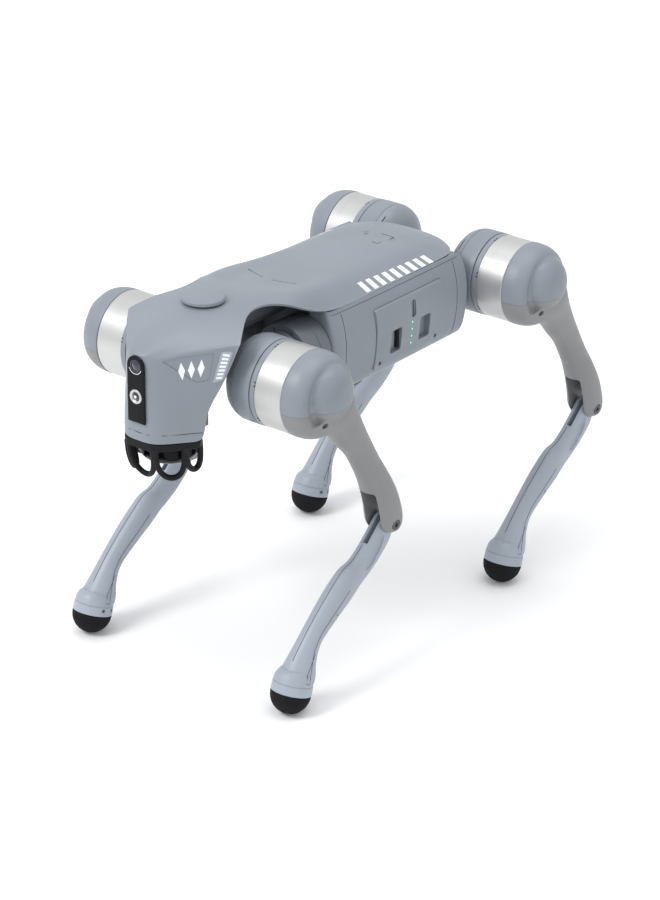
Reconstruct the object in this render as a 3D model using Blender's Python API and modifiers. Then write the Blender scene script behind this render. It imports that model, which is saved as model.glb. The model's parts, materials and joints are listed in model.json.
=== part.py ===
"""A four-legged walking robot, standing, as separate closed parts on joint empties.

+X is forward, +Y is the robot's left and +Z is up. The origin lies under the middle of the whole
robot, on the ground. Heights written in the trunk's functions are measured from the hip axes.
Each leg is built in the frames of its own joints: hip, thigh and calf.
"""

import math

import bmesh
import bpy
from mathutils import Matrix, Vector

# Driving dimensions, in metres and degrees.
HIP_X = 0.1934
HIP_Y = 0.0465
LEG_Y = 0.142
LINK = 0.213
THIGH_ANGLE = 30.5
KNEE_ANGLE = -78.0
FOOT_RADIUS = 0.022
FOOT_TILT = 28.5
CENTRE_X = 0.000685
GAP = 0.0003

BARREL_RADIUS = 0.0475
MOTOR_RADIUS = 0.0468
HIP_MOTOR_RADIUS = 0.0368
HIP_MOTOR_NEAR = 0.1006
HIP_MOTOR_FAR = 0.1388
BRACKET_INNER = 0.040
BRACKET_OUTER = 0.0843
THIGH_MOTOR_OUTER = 0.1252
CRANK_RADIUS = 0.015
CRANK_ANGLE = 114.0
CRANK_PIN = 0.0020
KNEE_PIN = 0.0040
WALL = 0.0025
TURN_STEPS = 20
LOFT_POINTS = 14

HIP_Z = LINK * (math.cos(math.radians(THIGH_ANGLE)) + math.cos(math.radians(THIGH_ANGLE + KNEE_ANGLE)))
HIP_Z += FOOT_RADIUS
LEGS = {
    "front_left": (1, 1),
    "front_right": (1, -1),
    "rear_left": (-1, 1),
    "rear_right": (-1, -1),
}


def clear_scene():
    for old in list(bpy.data.objects):
        bpy.data.objects.remove(old, do_unlink=True)


def new_collection(name):
    made = bpy.data.collections.new(name)
    bpy.context.scene.collection.children.link(made)
    return made


def new_material(name, colour, roughness, metallic=0.0):
    made = bpy.data.materials.new(name)
    made.use_nodes = True
    shader = made.node_tree.nodes["Principled BSDF"]
    shader.inputs["Base Color"].default_value = (*colour, 1.0)
    shader.inputs["Roughness"].default_value = roughness
    shader.inputs["Metallic"].default_value = metallic
    return made


clear_scene()
PARTS = new_collection("robot_dog")
CUTTERS = new_collection("cutters")

SHELL_PAINT = new_material("shell_paint", (0.36, 0.39, 0.43), 0.45)
THIGH_PAINT = new_material("thigh_paint", (0.24, 0.24, 0.25), 0.45)
MOTOR_SILVER = new_material("motor_silver", (0.75, 0.75, 0.75), 0.35, 1.0)
CALF_PAINT = new_material("calf_paint", (0.40, 0.44, 0.50), 0.45)
DARK_FRAME = new_material("dark_frame", (0.03, 0.03, 0.035), 0.5)
BLACK_GLOSS = new_material("black_gloss", (0.01, 0.01, 0.012), 0.15)
LENS_GLASS = new_material("lens_glass", (0.02, 0.02, 0.03), 0.05)
LAMP_WHITE = new_material("lamp_white", (0.8, 0.8, 0.78), 0.2)
RUBBER = new_material("rubber", (0.02, 0.02, 0.02), 0.8)
STEEL = new_material("steel", (0.5, 0.5, 0.5), 0.3, 1.0)


def place(obj, parent, paint=None, at=(0, 0, 0), turn=(0, 0, 0)):
    """Links a part, or a cutter where there is no paint, under its parent empty."""
    collection = PARTS if paint else CUTTERS
    for owner in list(obj.users_collection):
        owner.objects.unlink(obj)
    collection.objects.link(obj)
    obj.parent = parent
    obj.location = at
    obj.rotation_euler = turn
    if paint:
        obj.data.materials.append(paint)
        obj.data.shade_smooth()
        obj.data.set_sharp_from_angle(angle=math.radians(35))
    else:
        obj.hide_render = True
        obj.display_type = "WIRE"
    return obj


def empty(name, parent, at, turn=(0, 0, 0)):
    made = bpy.data.objects.new(name, None)
    PARTS.objects.link(made)
    made.parent = parent
    made.location = at
    made.rotation_euler = turn
    made.empty_display_size = 0.03
    return made


def mesh_object(name, points, faces, flat=False):
    """A mesh from points and faces. With flat, each twisted quad becomes two triangles."""
    data = bpy.data.meshes.new(name)
    data.from_pydata(points, [], faces)
    work = bmesh.new()
    work.from_mesh(data)
    bmesh.ops.recalc_face_normals(work, faces=work.faces)
    if flat:
        bmesh.ops.triangulate(work, faces=[face for face in work.faces if len(face.verts) == 4])
    work.to_mesh(data)
    work.free()
    return bpy.data.objects.new(name, data)


def block(name, low, high):
    """A box between two corners."""
    low = Vector(low)
    high = Vector(high)
    data = bpy.data.meshes.new(name)
    work = bmesh.new()
    size = high - low
    matrix = Matrix.Translation((low + high) / 2) @ Matrix.Diagonal((*size, 1.0))
    bmesh.ops.create_cube(work, size=1.0, matrix=matrix)
    work.to_mesh(data)
    work.free()
    return bpy.data.objects.new(name, data)


def rod_body(name, radius, low, high, axis, centre=(0, 0, 0), steps=TURN_STEPS):
    """A round bar along an axis, from low to high on that axis."""
    spin = {"X": Matrix.Rotation(math.radians(90), 4, "Y"), "Y": Matrix.Rotation(math.radians(-90), 4, "X")}
    along = {"X": Vector((1, 0, 0)), "Y": Vector((0, 1, 0)), "Z": Vector((0, 0, 1))}[axis]
    middle = Vector(centre) + along * (low + high) / 2
    matrix = Matrix.Translation(middle) @ spin.get(axis, Matrix.Identity(4))
    data = bpy.data.meshes.new(name)
    work = bmesh.new()
    bmesh.ops.create_cone(
        work,
        cap_ends=True,
        segments=steps,
        radius1=radius,
        radius2=radius,
        depth=abs(high - low),
        matrix=matrix,
    )
    work.to_mesh(data)
    work.free()
    return bpy.data.objects.new(name, data)


def turned(name, profile, steps=TURN_STEPS):
    """A profile of (radius, height) points, top to bottom down its outer side, turned about local Z."""
    data = bpy.data.meshes.new(name)
    points = [(radius, 0.0, height) for radius, height in profile]
    data.from_pydata(points, [(i, i + 1) for i in range(len(points) - 1)], [])
    made = bpy.data.objects.new(name, data)
    screw = made.modifiers.new("turn", "SCREW")
    screw.axis = "Z"
    screw.steps = steps
    screw.render_steps = steps
    screw.use_merge_vertices = True
    screw.merge_threshold = 0.00001
    return made


def solid_mesh(obj):
    """The object with its modifiers applied, as a plain mesh object."""
    CUTTERS.objects.link(obj)
    graph = bpy.context.evaluated_depsgraph_get()
    graph.update()
    data = bpy.data.meshes.new_from_object(obj.evaluated_get(graph))
    work = bmesh.new()
    work.from_mesh(data)
    bmesh.ops.remove_doubles(work, verts=work.verts, dist=0.00001)
    work.to_mesh(data)
    work.free()
    name = obj.name
    bpy.data.objects.remove(obj, do_unlink=True)
    return bpy.data.objects.new(name, data)


def oval(mid_x, mid_y, half_x, half_y, power, height, count=LOFT_POINTS):
    """One rounded-box section at a height, as a ring of points."""
    ring = []
    for step in range(count):
        angle = 2 * math.pi * (step + 0.5) / count
        across = math.copysign(abs(math.cos(angle)) ** (2 / power), math.cos(angle))
        deep = math.copysign(abs(math.sin(angle)) ** (2 / power), math.sin(angle))
        ring.append((mid_x + half_x * across, mid_y + half_y * deep, height))
    return ring


def loft(name, rings):
    """A closed body through rings that each have the same number of points."""
    count = len(rings[0])
    points = [point for ring in rings for point in ring]
    faces = [tuple(range(count)), tuple(range(len(points) - count, len(points)))]
    for row in range(len(rings) - 1):
        for step in range(count):
            after = (step + 1) % count
            base = row * count
            faces.append((base + step, base + after, base + count + after, base + count + step))
    return mesh_object(name, points, faces, flat=True)


def stadium(name, first, last, radius, low_y, high_y, steps=5):
    """A flat link with round ends, from one (x, z) centre to another, between two Y faces."""
    run = Vector(last) - Vector(first)
    heading = math.atan2(run[1], run[0])
    outline = []
    for centre, start in ((first, heading + math.pi / 2), (last, heading - math.pi / 2)):
        for step in range(steps + 1):
            angle = start + math.pi * step / steps
            outline.append((centre[0] + radius * math.cos(angle), centre[1] + radius * math.sin(angle)))
    rings = [[(x, y, z) for x, z in outline] for y in (low_y, high_y)]
    return loft(name, rings)


def boolean(target, other, operation):
    step = target.modifiers.new(operation.lower(), "BOOLEAN")
    step.operation = operation
    step.object = other
    step.solver = "EXACT"
    return target


def cut(target, parent, *cutters):
    for other in cutters:
        place(other, parent)
        boolean(target, other, "DIFFERENCE")


def join(target, parent, *others):
    for other in others:
        place(other, parent)
        boolean(target, other, "UNION")


def thicken(obj, levels):
    """Rounds an open cage and gives it a wall on its inner side."""
    if levels:
        round_off = obj.modifiers.new("round", "SUBSURF")
        round_off.levels = levels
        round_off.render_levels = levels
    wall = obj.modifiers.new("wall", "SOLIDIFY")
    wall.thickness = WALL
    wall.offset = -1
    wall.use_even_offset = True
    return obj


def mirrored_sheet(name, rows, extra=()):
    """An open sheet on both sides of the XZ plane, from rows of points on its left side.

    Each row starts on the plane, and a row may stop early. Extra quads join points given as
    (row, column) pairs, or as bare points on the plane.
    """
    points = []
    index = {}

    def vertex(point):
        key = tuple(round(value, 6) for value in point)
        if key not in index:
            index[key] = len(points)
            points.append(point)
        return index[key]

    quads = []
    for ahead, behind in zip(rows, rows[1:]):
        for column in range(min(len(ahead), len(behind)) - 1):
            quads.append([ahead[column], ahead[column + 1], behind[column + 1], behind[column]])
    quads += [list(quad) for quad in extra]
    faces = []
    for quad in quads:
        faces.append([vertex(point) for point in quad])
        flipped = [(x, -y, z) for x, y, z in reversed(quad)]
        faces.append([vertex(point) for point in flipped])
    return mesh_object(name, points, faces)


# ---- trunk -------------------------------------------------------------------------------------

def cover_rows():
    """The top cover's left half, front to back, each row from the centre line outwards.

    The first four rows run on down the head's side panel. Between the front hips the cover is
    only a narrow roof, and behind them it widens to the seam along the trunk's flanks.
    """
    head = [
        [(0.3165, 0, 0.0500), (0.3165, 0.0085, 0.0496), (0.3165, 0.0118, 0.0475), (0.3165, 0.0130, 0.0430)],
        [(0.3000, 0, 0.0590), (0.3000, 0.0150, 0.0580), (0.3000, 0.0210, 0.0545), (0.3000, 0.0285, 0.0480)],
        [(0.2700, 0, 0.0690), (0.2700, 0.0200, 0.0675), (0.2700, 0.0370, 0.0610), (0.2700, 0.0545, 0.0535)],
        [(0.2441, 0, 0.0735), (0.2441, 0.0215, 0.0715), (0.2441, 0.0500, 0.0645), (0.2441, 0.0763, 0.0565)],
    ]
    panel = [
        [(0.3165, 0.0155, 0.0150), (0.3165, 0.0180, -0.0100), (0.3165, 0.0190, -0.0300), (0.3165, 0.0190, -0.0470)],
        [(0.3000, 0.0305, 0.0150), (0.3005, 0.0320, -0.0100), (0.3015, 0.0325, -0.0300), (0.3015, 0.0325, -0.0470)],
        [(0.2700, 0.0560, 0.0150), (0.2800, 0.0485, -0.0100), (0.2850, 0.0450, -0.0300), (0.2860, 0.0445, -0.0470)],
        [(0.2580, 0.0665, 0.0150), (0.2705, 0.0560, -0.0100), (0.2735, 0.0540, -0.0300), (0.2755, 0.0530, -0.0470)],
    ]
    back = [
        (0.2206, 0.0760, 0.0220, 0.0740, 0.0400, 0.0680, 0.0593, 0.0607),
        (0.2033, 0.0765, 0.0220, 0.0745, 0.0350, 0.0690, 0.0489, 0.0633),
        (0.1850, 0.0755, 0.0215, 0.0735, 0.0310, 0.0695, 0.0407, 0.0653),
        (0.1650, 0.0740, 0.0210, 0.0720, 0.0300, 0.0690, 0.0385, 0.0655),
        (0.1450, 0.0710, 0.0210, 0.0690, 0.0330, 0.0650, 0.0470, 0.0610),
        (0.1340, 0.0695, 0.0220, 0.0680, 0.0470, 0.0660, 0.0720, 0.0545),
        (0.1000, 0.0665, 0.0400, 0.0660, 0.0600, 0.0670, 0.0765, 0.0445),
        (0.0500, 0.0640, 0.0470, 0.0642, 0.0570, 0.0610, 0.0760, 0.0440),
        (-0.0500, 0.0600, 0.0470, 0.0602, 0.0570, 0.0570, 0.0755, 0.0440),
        (-0.1000, 0.0570, 0.0450, 0.0570, 0.0560, 0.0545, 0.0740, 0.0440),
        (-0.1300, 0.0545, 0.0300, 0.0535, 0.0500, 0.0515, 0.0730, 0.0440),
        (-0.1480, 0.0490, 0.0220, 0.0480, 0.0340, 0.0470, 0.0450, 0.0440),
    ]
    rows = [top + side for top, side in zip(head, panel)]
    for x, z0, y1, z1, y2, z2, y3, z3 in back:
        rows.append([(x, 0, z0), (x, y1, z1), (x, y2, z2), (x, y3, z3)])
    return rows


def flank_rows():
    """The lower shell's left half, front to back, from the belly's centre line up to the seam."""
    rows = []
    stations = [
        (0.1002, 0.0850, 0.0430),
        (0.0850, 0.0870, 0.0435),
        (0.0500, 0.0885, 0.0435),
        (-0.0500, 0.0885, 0.0435),
        (-0.1000, 0.0880, 0.0435),
        (-0.1280, 0.0878, 0.0430),
        (-0.1365, 0.0875, 0.0425),
    ]
    for x, widest, seam in stations:
        side = [
            (0.0, -0.0635),
            (0.050, -0.0635),
            (widest * 0.88, -0.0570),
            (widest * 0.965, -0.0350),
            (widest, 0.0),
            (widest * 0.955, 0.0250),
            (widest * 0.872, seam - 0.0008),
        ]
        rows.append([(x, y, z) for y, z in side])
    return rows


def side_height_points():
    """(y, z) down the middle of the trunk's flank, over the battery door."""
    return [(0.0858, 0.0270), (0.0876, 0.0120), (0.0882, 0.0000), (0.0872, -0.0200), (0.0846, -0.0430)]


def battery_door_rings():
    """The battery's outer door follows the bulge of the flank."""
    rings = []
    for x in (-0.0895, 0.0295):
        outer = [(x, y, z) for y, z in side_height_points()]
        inner = [(x, 0.0790, z) for _, z in reversed(side_height_points())]
        rings.append(outer + inner)
    return rings


def build_trunk(root):
    build_cover(root)
    build_lower_shell(root)
    build_chassis(root)
    build_head_fittings(root)
    build_lidar(root)
    build_battery(root)


def build_cover(root):
    rows = cover_rows()
    front = rows[0]
    on_plane = [(point[0], 0.0, point[2]) for point in front]
    extra = [(front[0], front[1], front[2], on_plane[2])]
    for column in range(2, len(front) - 1):
        extra.append((front[column], front[column + 1], on_plane[column + 1], on_plane[column]))
    cover = thicken(mirrored_sheet("top_cover", rows, extra), 1)
    place(cover, root, SHELL_PAINT, (0, 0, HIP_Z))


def build_lower_shell(root):
    shell = thicken(mirrored_sheet("lower_shell", flank_rows()), 1)
    place(shell, root, SHELL_PAINT, (0, 0, HIP_Z))
    window = block("battery_window", (-0.0900, 0.060, -0.0435), (0.0300, 0.100, 0.0275))
    cut(shell, root, window)
    window.location = (0, 0, HIP_Z)

    pan = loft(
        "belly_pan",
        [
            [(-0.010, -0.058, -0.0640), (-0.010, 0.058, -0.0640), (-0.010, 0.054, -0.0660), (-0.010, -0.054, -0.0660)],
            [(0.040, -0.060, -0.0640), (0.040, 0.060, -0.0640), (0.040, 0.050, -0.0780), (0.040, -0.050, -0.0780)],
            [(0.108, -0.058, -0.0640), (0.108, 0.058, -0.0640), (0.108, 0.046, -0.0800), (0.108, -0.046, -0.0800)],
        ],
    )
    place(pan, root, SHELL_PAINT, (0, 0, HIP_Z))
    pad = block("belly_pad", (-0.105, -0.040, -0.0700), (-0.045, 0.040, -0.0640))
    bevel = pad.modifiers.new("edge", "BEVEL")
    bevel.width = 0.0015
    bevel.segments = 1
    place(pad, root, RUBBER, (0, 0, HIP_Z))


def build_chassis(root):
    """The inner frame: a box round the battery bay, a beam above each pair of hip motors, a head plate."""
    frame = block("chassis", (-0.0930, -0.0640, -0.0500), (0.0930, 0.0640, 0.0440))
    place(frame, root, DARK_FRAME, (0, 0, HIP_Z))
    beam = block("neck_beam", (-0.1420, -0.0120, 0.0300), (0.2560, 0.0120, 0.0420))
    plate = block("head_plate", (0.2500, -0.0380, -0.0420), (0.2560, 0.0380, 0.0420))
    join(frame, root, beam, plate)
    bay = block("battery_bay", (-0.0890, -0.0560, -0.0430), (0.0290, 0.1000, 0.0270))
    tray = block("electronics_bay", (0.0360, -0.0600, -0.0400), (0.0860, 0.0600, 0.0600))
    cut(frame, root, bay, tray)
    for helper in (beam, plate, bay, tray):
        helper.location = (0, 0, HIP_Z)


def arched_plate(name, half_width, low, top, near, far):
    """An upright strip, facing +X, with a round top."""
    outline = [(-half_width, low), (half_width, low)]
    steps = 8
    for step in range(steps + 1):
        angle = math.pi * step / steps
        outline.append((half_width * math.cos(angle), top - half_width + half_width * math.sin(angle)))
    return loft(name, [[(x, y, z) for y, z in outline] for x in (near, far)])


def build_head_fittings(root):
    face = arched_plate("face_panel", 0.0112, -0.0260, 0.0480, 0.3168, 0.3192)
    place(face, root, BLACK_GLOSS, (0, 0, HIP_Z))
    heights = {"camera_lens": (0.0370, 0.0070), "headlight": (0.0030, 0.0080)}
    for name, (height, radius) in heights.items():
        pocket = rod_body(name + "_pocket", radius + GAP, 0.3178, 0.3300, "X", (0, 0, height + HIP_Z), 16)
        cut(face, root, pocket)
        lens = turned(name, [(0, 0.0018), (radius * 0.6, 0.0015), (radius, 0.0006), (radius, 0), (0, 0)], 16)
        paint = LENS_GLASS if name == "camera_lens" else LAMP_WHITE
        place(lens, root, paint, (0.3181, 0, height + HIP_Z), (0, math.radians(90), 0))
    disc = turned("head_disc", [(0, 0.0040), (0.0205, 0.0040), (0.0230, 0.0028), (0.0230, 0), (0, 0)], 24)
    place(disc, root, SHELL_PAINT, (0.2115, 0, 0.0766 + HIP_Z))


def hoop(name, start, end, low, depth, radius):
    """A U-shaped bar that hangs from two points on the guard's band."""
    steps = 8
    curve = bpy.data.curves.new(name, "CURVE")
    curve.dimensions = "3D"
    curve.bevel_depth = radius
    curve.bevel_resolution = 1
    curve.use_fill_caps = True
    line = curve.splines.new("POLY")
    line.points.add(steps)
    for step in range(steps + 1):
        angle = math.pi * step / steps
        share = (1 - math.cos(angle)) / 2
        along = Vector(start).lerp(Vector(end), share)
        inward = Vector((-0.008, -along[1] * 0.10, 0)) * math.sin(angle)
        line.points[step].co = (along[0] + inward[0], along[1] + inward[1], low - depth * math.sin(angle) ** 0.6, 1)
    return solid_mesh(bpy.data.objects.new(name, curve))


def guard_outline(shrink):
    """The guard's plan: the head's wedge, narrowed by a wall, open at the back."""
    left = [(0.3165, 0.0188), (0.3015, 0.0322), (0.2860, 0.0440), (0.2755, 0.0490), (0.2620, 0.0410)]
    outline = [(x - shrink, y - shrink * 0.9) for x, y in left]
    return outline + [(x, -y) for x, y in reversed(outline)]


def build_lidar(root):
    """The black guard under the chin and, inside it, the scanner's base and its turning head."""
    top = -0.0478
    low = -0.0560
    outer = guard_outline(0.0)
    guard = loft("lidar_guard", [[(x, y, z) for x, y in outer] for z in (low, top)])
    place(guard, root, DARK_FRAME, (0, 0, HIP_Z))
    inner = loft("guard_hollow", [[(x, y, z) for x, y in guard_outline(0.0045)] for z in (-0.070, -0.0500)])
    well = rod_body("guard_well", 0.0276, -0.0520, -0.0400, "Z", (0.2800 - 0.012, 0, 0))
    cut(guard, root, inner, well)
    spots = [(0.3145, 0.0195), (0.2900, 0.0400), (0.2680, 0.0425)]
    hoops = [hoop("hoop_centre", (0.3130, -0.0165, 0), (0.3130, 0.0165, 0), low + 0.003, 0.036, 0.0030)]
    for side in (1, -1):
        for index, (near, far) in enumerate(zip(spots, spots[1:])):
            start = (near[0] - 0.002, side * (near[1] - 0.0005), 0)
            end = (far[0] - 0.002, side * (far[1] - 0.0025), 0)
            hoops.append(hoop(f"hoop_{index}_{side}", start, end, low + 0.003, 0.038 - 0.005 * index, 0.0031))
    join(guard, root, *hoops)
    for helper in [inner, well] + hoops:
        helper.location = (0, 0, HIP_Z)
    base_profile = [(0, -0.0440), (0.0240, -0.0440), (0.0240, -0.0506), (0.0335, -0.0506), (0.0335, -0.0610), (0, -0.0610)]
    base = turned("lidar_base", base_profile, 24)
    place(base, root, DARK_FRAME, (0.268, 0, HIP_Z))
    spinner = empty("lidar_axis", root, (0.268, 0, HIP_Z))
    dome = [(0, -0.0613), (0.0335, -0.0613), (0.0335, -0.0700), (0.0290, -0.0775), (0.0180, -0.0830), (0, -0.0850)]
    place(turned("lidar_rotor", dome, 24), spinner, BLACK_GLOSS)


def build_battery(root):
    """The battery slides out to the left. Its door carries two latch pads and the power button."""
    slide = empty("battery_slide", root, (0, 0, HIP_Z))
    pack = loft("battery_pack", battery_door_rings())
    place(pack, slide, SHELL_PAINT)
    core = block("battery_core", (-0.0860, -0.0520, -0.0390), (0.0260, 0.0800, 0.0230))
    join(pack, slide, core)
    recesses = {"battery_latch_front": (-0.0060, -1), "battery_latch_rear": (-0.0575, 1)}
    for name, (x, way) in recesses.items():
        recess = block(name + "_recess", (x - 0.0095, 0.0760, -0.0320), (x + 0.0095, 0.1000, -0.0050))
        wall = x + way * 0.0095
        pocket_x = sorted((wall - way * 0.0010, wall + way * 0.0036))
        pocket = block(name + "_pocket", (pocket_x[0], 0.0762, -0.0305), (pocket_x[1], 0.0838, -0.0065))
        cut(pack, slide, recess, pocket)
        pad_x = sorted((wall - way * 0.0035, wall + way * 0.0008))
        pad = block(name, (pad_x[0], 0.0765, -0.0302), (pad_x[1], 0.0835, -0.0068))
        place(pad, empty(name + "_axis", slide, (0, 0, 0)), DARK_FRAME)
    button_x = -0.0365
    well = stadium("button_well", (button_x, 0.0035), (button_x, 0.0155), 0.0040, 0.0800, 0.1000)
    cut(pack, slide, well)
    press = empty("power_button_axis", slide, (0, 0, 0))
    button = stadium("power_button", (button_x, 0.0035), (button_x, 0.0155), 0.0036, 0.0815, 0.0868)
    place(button, press, DARK_FRAME)


# ---- legs --------------------------------------------------------------------------------------

def thigh_rings():
    """Sections down the thigh: (distance down, middle x, half x, middle y, half y, roundness)."""
    rows = [
        (0.004, -0.0010, 0.0400, 0.0015, 0.0175, 2.4),
        (0.029, -0.0045, 0.0290, 0.0022, 0.0184, 2.4),
        (0.050, -0.0080, 0.0225, 0.0010, 0.0172, 2.3),
        (0.076, -0.0105, 0.0190, 0.0000, 0.0165, 2.2),
        (0.100, -0.0130, 0.0160, 0.0000, 0.0155, 2.1),
        (0.130, -0.0135, 0.0158, 0.0000, 0.0152, 2.1),
        (0.150, -0.0135, 0.0165, 0.0000, 0.0165, 2.2),
        (0.170, -0.0122, 0.0175, 0.0000, 0.0180, 2.4),
        (0.188, -0.0095, 0.0190, 0.0000, 0.0188, 2.5),
        (0.203, -0.0055, 0.0200, 0.0000, 0.0190, 2.6),
        (0.216, -0.0045, 0.0170, 0.0000, 0.0186, 2.6),
        (0.226, -0.0045, 0.0095, 0.0000, 0.0160, 2.4),
    ]
    return rows


def calf_rings():
    """Sections down the calf, with a tilt: a thin blade that widens to a round collar at the foot."""
    rows = [
        (-0.0100, 0.0000, 0.0080, 0.0, 0.0086, 2.4, 0),
        (0.0000, -0.0015, 0.0130, 0.0, 0.0094, 3.0, 0),
        (0.0120, -0.0045, 0.0165, 0.0, 0.0094, 3.0, 0),
        (0.0400, -0.0038, 0.0165, 0.0, 0.0094, 3.0, 0),
        (0.0600, 0.0000, 0.0162, 0.0, 0.0094, 3.0, 0),
        (0.0720, 0.0055, 0.0170, 0.0, 0.0125, 2.6, 0),
        (0.0950, 0.0095, 0.0160, 0.0, 0.0135, 2.4, 0),
        (0.1190, 0.0132, 0.0142, 0.0, 0.0135, 2.2, 0),
        (0.1500, 0.0160, 0.0120, 0.0, 0.0125, 2.2, 0),
        (0.1650, 0.0140, 0.0132, 0.0, 0.0138, 2.1, 4),
        (0.1780, 0.0102, 0.0160, 0.0, 0.0162, 2.0, 12),
        (0.1880, 0.0066, 0.0188, 0.0, 0.0188, 2.0, 20),
        (0.2000, 0.0036, 0.0208, 0.0, 0.0208, 2.0, FOOT_TILT),
        (0.2117, 0.0008, 0.0217, 0.0, 0.0217, 2.0, FOOT_TILT),
    ]
    return rows


def limb(name, rows, side):
    rings = []
    for down, x, half_x, y, half_y, power, *tilt in rows:
        ring = oval(0, y * side, half_x, half_y, power, 0)
        spin = Matrix.Rotation(math.radians(tilt[0] if tilt else 0), 3, "Y")
        rings.append([tuple(spin @ Vector(point) + Vector((x, 0, -down))) for point in ring])
    return loft(name, rings)


def y_turned(name, profile, side, steps=TURN_STEPS):
    """A turned shape whose axis points outwards along Y, from (radius, outward distance) points."""
    made = turned(name, profile, steps)
    return made, (math.radians(-90 * side), 0, 0)


def dome_profile(inner, outer_start):
    """The thigh's round head: a drum with a stepped crown, from outside to inside."""
    crown = [
        (0.0, 0.0290),
        (0.0120, 0.0282),
        (0.0240, 0.0245),
        (0.0320, 0.0180),
        (0.0350, 0.0130),
        (0.0410, 0.0100),
        (0.0455, 0.0020),
        (BARREL_RADIUS, -0.0080),
        (BARREL_RADIUS, outer_start),
    ]
    return crown + [(0.0, inner)]


def build_hip(name, front, side, root):
    hip = empty(name + "_hip_axis", root, (front * HIP_X, side * HIP_Y, HIP_Z))
    profile = [
        (0, HIP_MOTOR_FAR),
        (0.030, HIP_MOTOR_FAR),
        (HIP_MOTOR_RADIUS, HIP_MOTOR_FAR - 0.005),
        (HIP_MOTOR_RADIUS, HIP_MOTOR_NEAR + 0.003),
        (0.0350, HIP_MOTOR_NEAR),
        (0, HIP_MOTOR_NEAR),
    ]
    motor = turned(name + "_hip_motor", profile)
    place(motor, root, DARK_FRAME, (0, side * HIP_Y, HIP_Z), (0, math.radians(90 * front), 0))

    inner = BRACKET_INNER - HIP_Y
    outer = BRACKET_OUTER - HIP_Y
    profile = [
        (0, outer),
        (0.0455, outer),
        (BARREL_RADIUS, outer - 0.0015),
        (BARREL_RADIUS, inner + 0.0150),
        (0.0300, inner),
        (0, inner),
    ]
    bracket, turn = y_turned(name + "_hip_bracket", profile, side)
    place(bracket, hip, SHELL_PAINT, turn=turn)
    reach = sorted((-front * (HIP_X - HIP_MOTOR_FAR - 2 * GAP), -front * 0.030))
    neck = rod_body(name + "_bracket_neck", 0.0280, reach[0], reach[1], "X", steps=16)
    join(bracket, hip, neck)
    return hip


def build_thigh(name, side, hip):
    thigh_y = LEG_Y - HIP_Y
    motor_inner = BRACKET_OUTER + GAP - LEG_Y
    motor_outer = THIGH_MOTOR_OUTER - LEG_Y
    profile = [
        (0, motor_outer),
        (MOTOR_RADIUS - 0.002, motor_outer),
        (MOTOR_RADIUS, motor_outer - 0.0015),
        (MOTOR_RADIUS, motor_inner),
        (0, motor_inner),
    ]
    motor, turn = y_turned(name + "_thigh_motor", profile, side)
    place(motor, hip, MOTOR_SILVER, (0, side * thigh_y, 0), turn)

    frame = empty(name + "_thigh_axis", hip, (0, side * thigh_y, 0), (0, math.radians(THIGH_ANGLE), 0))
    start = motor_outer + GAP
    level = math.radians(-THIGH_ANGLE)
    split = -0.0080

    cap, turn = y_turned(name + "_thigh_cap", dome_profile(start, start), side)
    place(cap, frame, SHELL_PAINT, turn=turn)
    below = block(name + "_cap_split", (-0.1, -0.1, -0.1), (0.1, 0.1, split + GAP))
    cut(cap, frame, below)
    below.rotation_euler = (0, level, 0)
    cut(cap, frame, head_cavity(name + "_cap_cavity", side, start))

    thigh, turn = y_turned(name + "_thigh", dome_profile(start, start), side)
    thigh = solid_mesh(thigh)
    thigh.data.transform(Matrix.Rotation(turn[0], 4, "X"))
    place(thigh, frame, THIGH_PAINT)
    join(thigh, frame, limb(name + "_thigh_limb", thigh_rings(), side))
    above = block(name + "_thigh_split", (-0.1, -0.1, split), (0.1, 0.1, 0.1))
    cut(thigh, frame, above)
    above.rotation_euler = (0, level, 0)
    channel_y = sorted((-0.0056 * side, 0.0040 * side))
    channel = block(name + "_rod_channel", (-0.0195, channel_y[0], -0.1600), (-0.0045, channel_y[1], -0.0100))
    gap = block(name + "_knee_gap", (-0.0200, -0.0104, -0.2600), (0.0600, 0.0104, -0.1584))
    bore = rod_body(name + "_pin_bore", KNEE_PIN + GAP, -0.03, 0.03, "Y", (0, 0, -LINK), 12)
    sink_y = sorted((0.0163 * side, 0.0300 * side))
    sink = rod_body(name + "_pin_sink", 0.0064, sink_y[0], sink_y[1], "Y", (0, 0, -LINK), 12)
    cut(thigh, frame, head_cavity(name + "_thigh_cavity", side, start), channel, gap, bore, sink)

    motor_face = 0.1366 - LEG_Y
    knee_motor, turn = y_turned(
        name + "_knee_motor",
        [(0, motor_face), (0.0360, motor_face), (0.0380, motor_face - 0.002), (0.0380, start), (0, start)],
        side,
    )
    place(knee_motor, frame, MOTOR_SILVER, turn=turn)
    profile = [(0, 0.0180), (0.0060, 0.0180), (0.0060, 0.0166), (KNEE_PIN, 0.0166), (KNEE_PIN, -0.0180), (0, -0.0180)]
    pin, turn = y_turned(name + "_knee_pin", profile, side, 12)
    place(pin, frame, STEEL, (0, 0, -LINK), turn)
    return frame


def head_cavity(name, side, start):
    """The round room inside the thigh's head, for the knee motor and its crank."""
    reach = sorted(((start - 0.010) * side, 0.0055 * side))
    return rod_body(name, 0.0405, reach[0], reach[1], "Y")


def crank_point(angle):
    return (-CRANK_RADIUS * math.sin(math.radians(angle)), -CRANK_RADIUS * math.cos(math.radians(angle)))


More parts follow.
